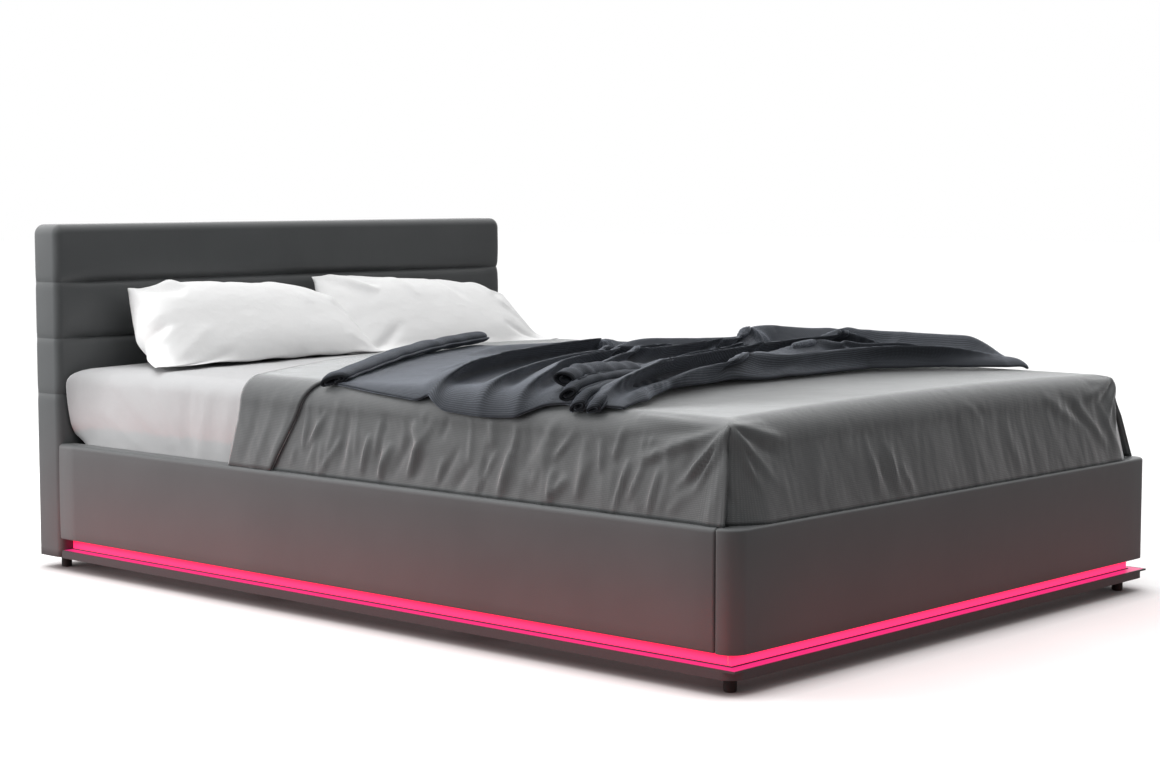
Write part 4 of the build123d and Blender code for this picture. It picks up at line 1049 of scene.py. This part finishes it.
def roll_along(name, line, seed, section):
    """Sweep a spiral section, which may grow on its way, along a line on the bedding."""
    turns, outer, gain, pitch, squash, squash_gain, lean = section
    wobble = random.Random(seed)
    points = bend(line, ROLL_POINTS)
    run = np.gradient(points[:, :2], axis=0)
    bm = bmesh.new()
    layer = bm.loops.layers.uv.verify()
    rings = []
    waves = [(wobble.uniform(0, 6), wobble.uniform(2, 9), wobble.uniform(0.03, 0.10)) for _ in range(6)]
    for i, (across, reach, rise) in enumerate(points):
        share = i / (ROLL_POINTS - 1)
        way = np.array((-run[i][1], run[i][0])) / np.hypot(*run[i])
        swell = 1 + sum(size * math.sin(phase + share * rate * 6) for phase, rate, size in waves) * 0.6
        rings.append([bm.verts.new(bed_point(across + way[0] * side * swell, reach + way[1] * side * swell,
                                             THROW, max(0.0015, rise + up * swell)))
                      for side, up in spiral(turns, outer + gain * share, pitch, squash + squash_gain * share,
                                             lean)])
    length = sum(np.linalg.norm(np.diff(points[:, :2], axis=0), axis=1))
    for i in range(ROLL_POINTS - 1):
        for j in range(len(rings[0]) - 1):
            face = bm.faces.new((rings[i][j], rings[i + 1][j], rings[i + 1][j + 1], rings[i][j + 1]))
            for loop, (a, b) in zip(face.loops, ((0, 0), (1, 0), (1, 1), (0, 1))):
                loop[layer].uv = ((i + a) / (ROLL_POINTS - 1) * length, (j + b) * 0.006)
    bmesh.ops.recalc_face_normals(bm, faces=bm.faces)
    thicken(piece(name, bm, rib_face, "lift_base"), 0.0045, 0.0)


for name, (line, seed, section) in ROLLS.items():
    roll_along(name, line, seed, section)

# %% [markdown]
# ## Pillows
#
# A pillow is a flat bag, sewn round its edge and then filled, so its sides draw in, its corners
# stay pointed and its middle is plump. The bag starts as two grids with that outline. A short cloth
# simulation with a little pressure inside then makes the seams pucker, as real ones do. No vertex
# may move more than about a centimetre in it, which keeps the designed shape.

# %% Pillow bag
PLUMP = 0.165                 # thickness of a filled pillow
RIM_SHRINK, TOP_BOW = 0.055, 0.03     # how far its sides draw in, and its top edge bows
CLOTH = {"use_pressure": True, "quality": 5, "tension_stiffness": 25, "compression_stiffness": 15,
         "shear_stiffness": 8, "bending_stiffness": 0.12, "shrink_min": -0.035}


def pillow_bag(width, height):
    """Two grids joined round their rim: a plump bag with pointed corners, thinner towards one end."""
    bm = bmesh.new()
    for face in (-1, 1):
        def lay(p, q):
            across, up = 2 * p - 1, 2 * q - 1
            body = max(0.0, (1 - abs(across) ** 3.4) * (1 - abs(up) ** 3.0)) ** 0.62
            return Vector((across * width / 2 * (1 - RIM_SHRINK * (1 - up * up)),
                           up * height / 2 * (1 + TOP_BOW * (1 - across * across)),
                           face * PLUMP / 2 * body * (1 - 0.10 * across)))
        cloth_grid(bm, 74, 46, lay, lambda p, q: (p * width, (q + face) * height))
    bmesh.ops.remove_doubles(bm, verts=bm.verts, dist=0.0002)
    bmesh.ops.recalc_face_normals(bm, faces=bm.faces)
    return bm


def settle(made, pressure, frames, reach):
    """Run a short cloth simulation on a piece and keep at most this much of each vertex's travel."""
    start = np.array([v.co for v in made.data.vertices])
    cloth = made.modifiers.new("cloth", "CLOTH")
    for setting, value in CLOTH.items():
        setattr(cloth.settings, setting, value)
    cloth.settings.uniform_pressure_force = pressure
    cloth.settings.effector_weights.gravity = 0
    cloth.point_cache.frame_start, cloth.point_cache.frame_end = 1, frames
    for number in range(1, frames + 1):
        scene.frame_set(number)
    done = made.evaluated_get(bpy.context.evaluated_depsgraph_get())
    moved = np.array([v.co for v in done.data.vertices]) - start
    length = np.linalg.norm(moved, axis=1)
    moved *= (reach * np.tanh(length / reach) / np.maximum(length, 1e-9))[:, None]
    made.modifiers.remove(cloth)
    made.data.vertices.foreach_set("co", (start + moved).ravel())
    made.data.update()
    scene.frame_set(1)
    print(made.name, "settled by", round(float(length.mean()) * 1000, 1), "mm on average")

# %% [markdown]
# ## Leaning the pillows
#
# The bag is made upright round the origin, and then each vertex is placed: the pillow leans back
# on the headboard, more so at its far end, slumps to one side, and is pressed flat where it
# rests on the sheet. Its near lower corner is drawn back under it by the seat.

# %% Pillows
CREASE_STEP = 0.00125         # the unit of a crease's height
LEAN, LEAN_CHANGE = 43, 5     # degrees from level, and how much that changes to either end
PILLOW_REACH, PILLOW_LEVEL = 0.168, 0.553     # its middle, from the headboard and above the floor
REST_LEVEL, REST_SOFTNESS = 0.5022, 0.02      # height of the sheet below it
SEAT_SPREAD = 0.13


def creases(*rows):
    """Folds on a pillow: two places and a width in millimetres, and a height in steps of 1.25 mm."""
    return [((ax / 1000, ay / 1000, az / 1000), (bx / 1000, by / 1000, bz / 1000), width / 1000,
             high * CREASE_STEP) for ax, ay, az, bx, by, bz, width, high in rows]


def make_pillow(name, node, middle, width, height, folds):
    """A filled pillow that leans on the headboard."""
    made = piece(name, pillow_bag(width, height), sateen, "lift_base", [node])
    settle(made, pressure=3.0, frames=14, reach=0.011)
    press_folds(made, folds, cap=0.028)
    for v in made.data.vertices:
        p = v.co.copy()
        end = p.x / (width / 2)
        lean = math.radians(LEAN - LEAN_CHANGE * end)
        slump = max(0.0, end) ** 2
        y = p.y * (1 - 0.16 * slump) * (1 + 0.10 * max(0.0, -end))
        reach = PILLOW_REACH + 0.022 * slump - y * math.cos(lean) + p.z * math.sin(lean)
        level = PILLOW_LEVEL - 0.018 * slump + y * math.sin(lean) + p.z * math.cos(lean)
        rest = REST_LEVEL + 0.004 * math.sin(23 * p.x) ** 2 * (1 if p.z > 0 else 0) + REST_SOFTNESS
        if level < rest:
            level = rest - REST_SOFTNESS + REST_SOFTNESS * math.exp((level - rest) / REST_SOFTNESS)
        seat = math.exp(-((p.x + width / 2) / SEAT_SPREAD) ** 2) * clamp((0.155 - p.y) / 0.12)
        seat *= 0.066 + 0.028 * clamp(-p.y / 0.16)
        v.co = (middle + p.x - seat, HEAD_FACE - max(reach, 0.003), level)
    made.data.update()
    fine = made.modifiers.new("fine", "SUBSURF")
    fine.levels = fine.render_levels = 1
    made.data.shade_smooth()


make_pillow("pillow_near", "pillow_left", -0.272, 0.640, 0.318, creases(
    (-310, 160, 20, -215, 90, 70, 16, -13), (-250, 165, 30, -205, 110, 60, 10, 9),
    (-300, -120, 20, -200, -30, 75, 12, 8), (-300, -150, 20, -170, -95, 70, 11, -8),
    (-250, -160, 20, -150, -60, 75, 10, 7), (-310, -40, 20, -235, -5, 60, 10, 6),
    (-90, 150, 40, -60, 60, 80, 14, -5), (60, 150, 40, 130, 30, 80, 16, 5),
    (200, 150, 30, 250, 20, 60, 14, -7), (300, 150, 10, 215, 60, 60, 12, 7),
    (300, -130, 10, 190, -70, 65, 12, 7), (120, -150, 30, 60, -60, 80, 13, -4)))
make_pillow("pillow_far", "pillow_right", 0.343, 0.676, 0.330, creases(
    (-300, 160, 20, -200, 80, 70, 15, -12), (-235, 165, 30, -190, 95, 60, 11, 8),
    (-300, -140, 20, -190, -40, 75, 12, 7), (-120, 150, 40, -90, 50, 80, 16, -5),
    (40, 150, 40, 90, 30, 80, 14, 5), (190, 150, 30, 235, 20, 60, 16, -9),
    (300, 150, 10, 215, 50, 60, 12, 8), (300, -130, 10, 180, -60, 65, 13, 7),
    (240, 40, 50, 300, -60, 30, 12, -7)))

# %% [markdown]
# ## Mattress
#
# Under the sheet lies a foam mattress in a knitted ticking cover. A piped seam runs round it near
# its lower edge. It shows from below when the base is lifted.

# %% Mattress
QUILT_SIZE, KNIT_SIZE = 0.09, 0.004
ROOM = 0.001                  # between the ticking and the sheet
PIPING = (0.272, 0.278, 0.284)        # heights of the seam's edges and middle
PIPING_DEPTH = 0.003
CORNER_RADIUS, LOWER_RADIUS = 0.055, 0.008

ticking, tree, coords = new_finish("knitted_ticking")
quilt = add(tree, "TexVoronoi", {"Vector": coords["Object"], "Scale": 1 / QUILT_SIZE},
            feature="DISTANCE_TO_EDGE")
knit = add(tree, "TexNoise", {"Vector": coords["Object"], "Scale": 1 / KNIT_SIZE, "Detail": 2.0})
edge = add(tree, "MapRange", {"Value": quilt.outputs["Distance"], "From Max": 0.12})
tone = add(tree, "Mix", {0: knit.outputs["Fac"], 6: linear("#cfcfcb"), 7: linear("#dededa")},
           data_type="RGBA")
pads = add(tree, "Bump", {"Height": edge, "Strength": 0.8, "Distance": 0.006})
fibres = add(tree, "Bump", {"Height": knit.outputs["Fac"], "Normal": pads,
                            "Strength": 0.4, "Distance": 0.0008})
surface = add(tree, "BsdfPrincipled", {"Base Color": tone.outputs[2], "Roughness": 0.9,
                                       "Normal": fibres, "Sheen Weight": 0.2})
close_finish(tree, surface)

low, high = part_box("mattress")
bm = block(Vector((-HALF + ROOM, low.y + ROOM, low.z + 0.0003)),
           Vector((HALF - ROOM, high.y - ROOM, TOP - ROOM)))
round_edges(bm, lambda m, d: abs(d.z) > 0.9, CORNER_RADIUS, 8)
round_edges(bm, lambda m, d: m.z > TOP - 0.002 and abs(d.z) < 0.1, SHOULDER, 6)
round_edges(bm, lambda m, d: m.z < low.z + 0.002 and abs(d.z) < 0.1, LOWER_RADIUS, 3)
slice_along(bm, 2, PIPING)
slice_along(bm, 0, steps(-0.64, 0.64, 0.08))
for v in bm.verts:
    if v.co.z > TOP - 0.002:
        v.co.z += crown(v.co.x)
    if abs(v.co.z - PIPING[1]) < 0.001:
        v.co -= Vector((v.co.x / HALF, v.co.y, 0)) * PIPING_DEPTH
bmesh.ops.recalc_face_normals(bm, faces=bm.faces)
mattress = piece("mattress_ticking", bm, ticking, "lift_base", ["mattress"])

# %% [markdown]
# ## Finishes of the hard pieces
#
# The rest keeps its CAD shape. Each finish below is named for its material and how its surface
# was made, and goes to every node of that kind.

# %% Hard finishes
def grained(name, dark, light, size, stretch_to, rough_low, rough_high, depth, metallic=0.0):
    """A finish with a two-tone grain: its size in metres, its stretch on each axis, its gloss."""
    finish, tree, coords = new_finish(name)
    placed = add(tree, "Mapping", {"Vector": coords["Object"], "Scale": stretch_to})
    grain = add(tree, "TexNoise", {"Vector": placed, "Scale": 1 / size, "Detail": 5.0, "Roughness": 0.6})
    tone = add(tree, "Mix", {0: grain.outputs["Fac"], 6: linear(dark), 7: linear(light)}, data_type="RGBA")
    gloss = add(tree, "MapRange", {"Value": grain.outputs["Fac"], "To Min": rough_low,
                                   "To Max": rough_high})
    bump = add(tree, "Bump", {"Height": grain.outputs["Fac"], "Strength": 0.3, "Distance": depth})
    surface = add(tree, "BsdfPrincipled",
                  {"Base Color": tone.outputs[2], "Roughness": gloss, "Normal": bump,
                   "Metallic": metallic})
    close_finish(tree, surface)
    return finish


def glowing(name, top, bottom, power, low, high):
    """A glowing plastic with painted shade: one tone at the foot of its height, another at the top, and its
    glow dimmed towards the top. It serves the opal diffuser lit from behind and the painted glow on the
    ledge.
    """
    finish, tree, coords = new_finish(name)
    place = add(tree, "SeparateXYZ", {0: coords["Object"]})
    share = add(tree, "MapRange", {"Value": place.outputs["Z"], "From Min": low, "From Max": high},
                interpolation_type="SMOOTHSTEP")
    tone = add(tree, "Mix", {0: share, 6: linear(bottom), 7: linear(top)}, data_type="RGBA")
    # painted shade: the glow dims towards the top, where the rail above shades the light gap
    fade = add(tree, "MapRange", {"Value": share, "To Min": power, "To Max": power * 0.62})
    surface = add(tree, "BsdfPrincipled",
                  {"Base Color": linear("#7a1030"), "Roughness": 0.45, "Emission Color": tone.outputs[2],
                   "Emission Strength": fade})
    close_finish(tree, surface)
    return finish


opal = glowing("opal_acrylic_lit", "#ff1232", "#ff3066", 1.75, 0.056, 0.080)
GRAINS = {     # slot: name, dark and light tone, size, stretch, roughness from and to, depth, metallic
    "board": ("chipboard_raw", "#8f7650", "#b59a70", 0.006, (1, 1, 1), 0.7, 0.9, 0.0006),
    "timber": ("laminate_dark_grey", "#3a3a3c", "#454547", 0.004, (1, 1, 1), 0.4, 0.5, 0.0002),
    "beech": ("beech_veneer_sealed", "#b98a55", "#d3aa78", 0.012, (0.06, 1, 1), 0.35, 0.5, 0.0003),
    "black_steel": ("steel_powder_coated_black", "#141517", "#1f2022", 0.002, (1, 1, 1), 0.45, 0.6, 0.0002),
    "zinc_steel": ("steel_zinc_plated", "#9a9c9f", "#b4b6b8", 0.01, (1, 1, 1), 0.3, 0.42, 0.0001, 1.0),
    "rod_chrome": ("steel_rod_chromed", "#c9cbcd", "#d6d8da", 0.02, (1, 1, 1), 0.08, 0.14, 0.00002, 1.0),
    "channel_aluminium": ("aluminium_anodised", "#b7b8ba", "#c6c7c9", 0.003, (0.1, 1, 1), 0.35, 0.45, 0.0001,
                          1.0),
    "black_plastic": ("nylon_moulded_black", "#151515", "#202020", 0.003, (1, 1, 1), 0.5, 0.65, 0.0003),
    "webbing": ("polyester_webbing", "#121212", "#242424", 0.002, (1, 0.2, 1), 0.8, 0.95, 0.0008),
    "driver_plastic": ("abs_moulded_black", "#1a1a1b", "#232324", 0.002, (1, 1, 1), 0.4, 0.5, 0.0002),
    "strip": ("led_strip_white", "#dcdcd4", "#ecece6", 0.01, (1, 1, 1), 0.5, 0.6, 0.0003),
}
finish_of = {slot: grained(*row) for slot, row in GRAINS.items()}
finish_of["diffuser"] = opal
for entry in frame["record"]["subparts"]:
    made = frame["nodes"][entry["node"]]
    if entry["material_slot"] in finish_of and not made.hide_render:
        made.data.materials.clear()
        made.data.materials.append(finish_of[entry["material_slot"]])
print(len(finish_of), "finishes on the hard pieces")

# %% [markdown]
# ## Painted glow on the ledge
#
# The ledge below the light gap carries a thin glowing strip, painted light for the pink glow that the
# diffuser throws on the ledge's top, pinker than the diffuser behind it. It is a separate strip on three
# sides, with mitred ends at the two foot corners.

# %% Painted ledge glow
HEAD_END, LEDGE_OUT, LEDGE_FOOT = 0.9840, 0.7612, -1.0817
MITRE_GAP = 0.0003            # between the foot strip and the side strips
# painted light: the pool of pink light on the ledge's top is drawn as a glowing strip
painted_glow_finish = glowing("painted_ledge_light", "#ff3a90", "#ff2a80", 1.05, 0.046, 0.050)
laminate = finish_of["timber"]


def ledge_strip(name, outline, low, high, finish, slot):
    """A flat strip with this outline between two heights."""
    bm = bmesh.new()
    face = bm.faces.new([bm.verts.new((x, y, low)) for x, y in outline])
    made = bmesh.ops.extrude_face_region(bm, geom=[face])["geom"]
    raised = [v for v in made if isinstance(v, bmesh.types.BMVert)]
    bmesh.ops.translate(bm, vec=(0, 0, high - low), verts=raised)
    bmesh.ops.recalc_face_normals(bm, faces=bm.faces)
    piece(name, bm, finish, "bed_box", smooth=False)


def ledge_strips(name, outer, inner, *rest):
    """Three mitred strips on the ledge, between two distances in from its edge."""
    out, back = LEDGE_OUT - outer, LEDGE_OUT - inner
    for side, hand in ((-1, "left"), (1, "right")):
        ledge_strip(f"{name}_{hand}", ((side * out, HEAD_END), (side * out, LEDGE_FOOT + outer),
                                       (side * back, LEDGE_FOOT + inner), (side * back, HEAD_END)), *rest)
    out, back = out - MITRE_GAP, back - MITRE_GAP
    ledge_strip(f"{name}_foot", ((-out, LEDGE_FOOT + outer), (out, LEDGE_FOOT + outer),
                                 (back, LEDGE_FOOT + inner), (-back, LEDGE_FOOT + inner)), *rest)


ledge_strips("ledge_lip", 0.0, 0.003, 0.0460, 0.0500, laminate, "timber")
ledge_strips("ledge_painted_light_strip", 0.0032, 0.0290, 0.0461, 0.0497, painted_glow_finish, "diffuser")
ledge_strips("ledge_rib", 0.0292, 0.0315, 0.0461, 0.0516, laminate, "timber")

# %% [markdown]
# ## Size
#
# The dressed bed has to stay in the CAD model's box, apart from what soft fabric may stand
# proud, so both boxes are written down side by side.

# %% Sizes
low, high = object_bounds()
{"cad": [list(cad_low), list(cad_high)], "visual": [list(low), list(high)]}
print("visual box", [round(v, 4) for v in (*low, *high)])
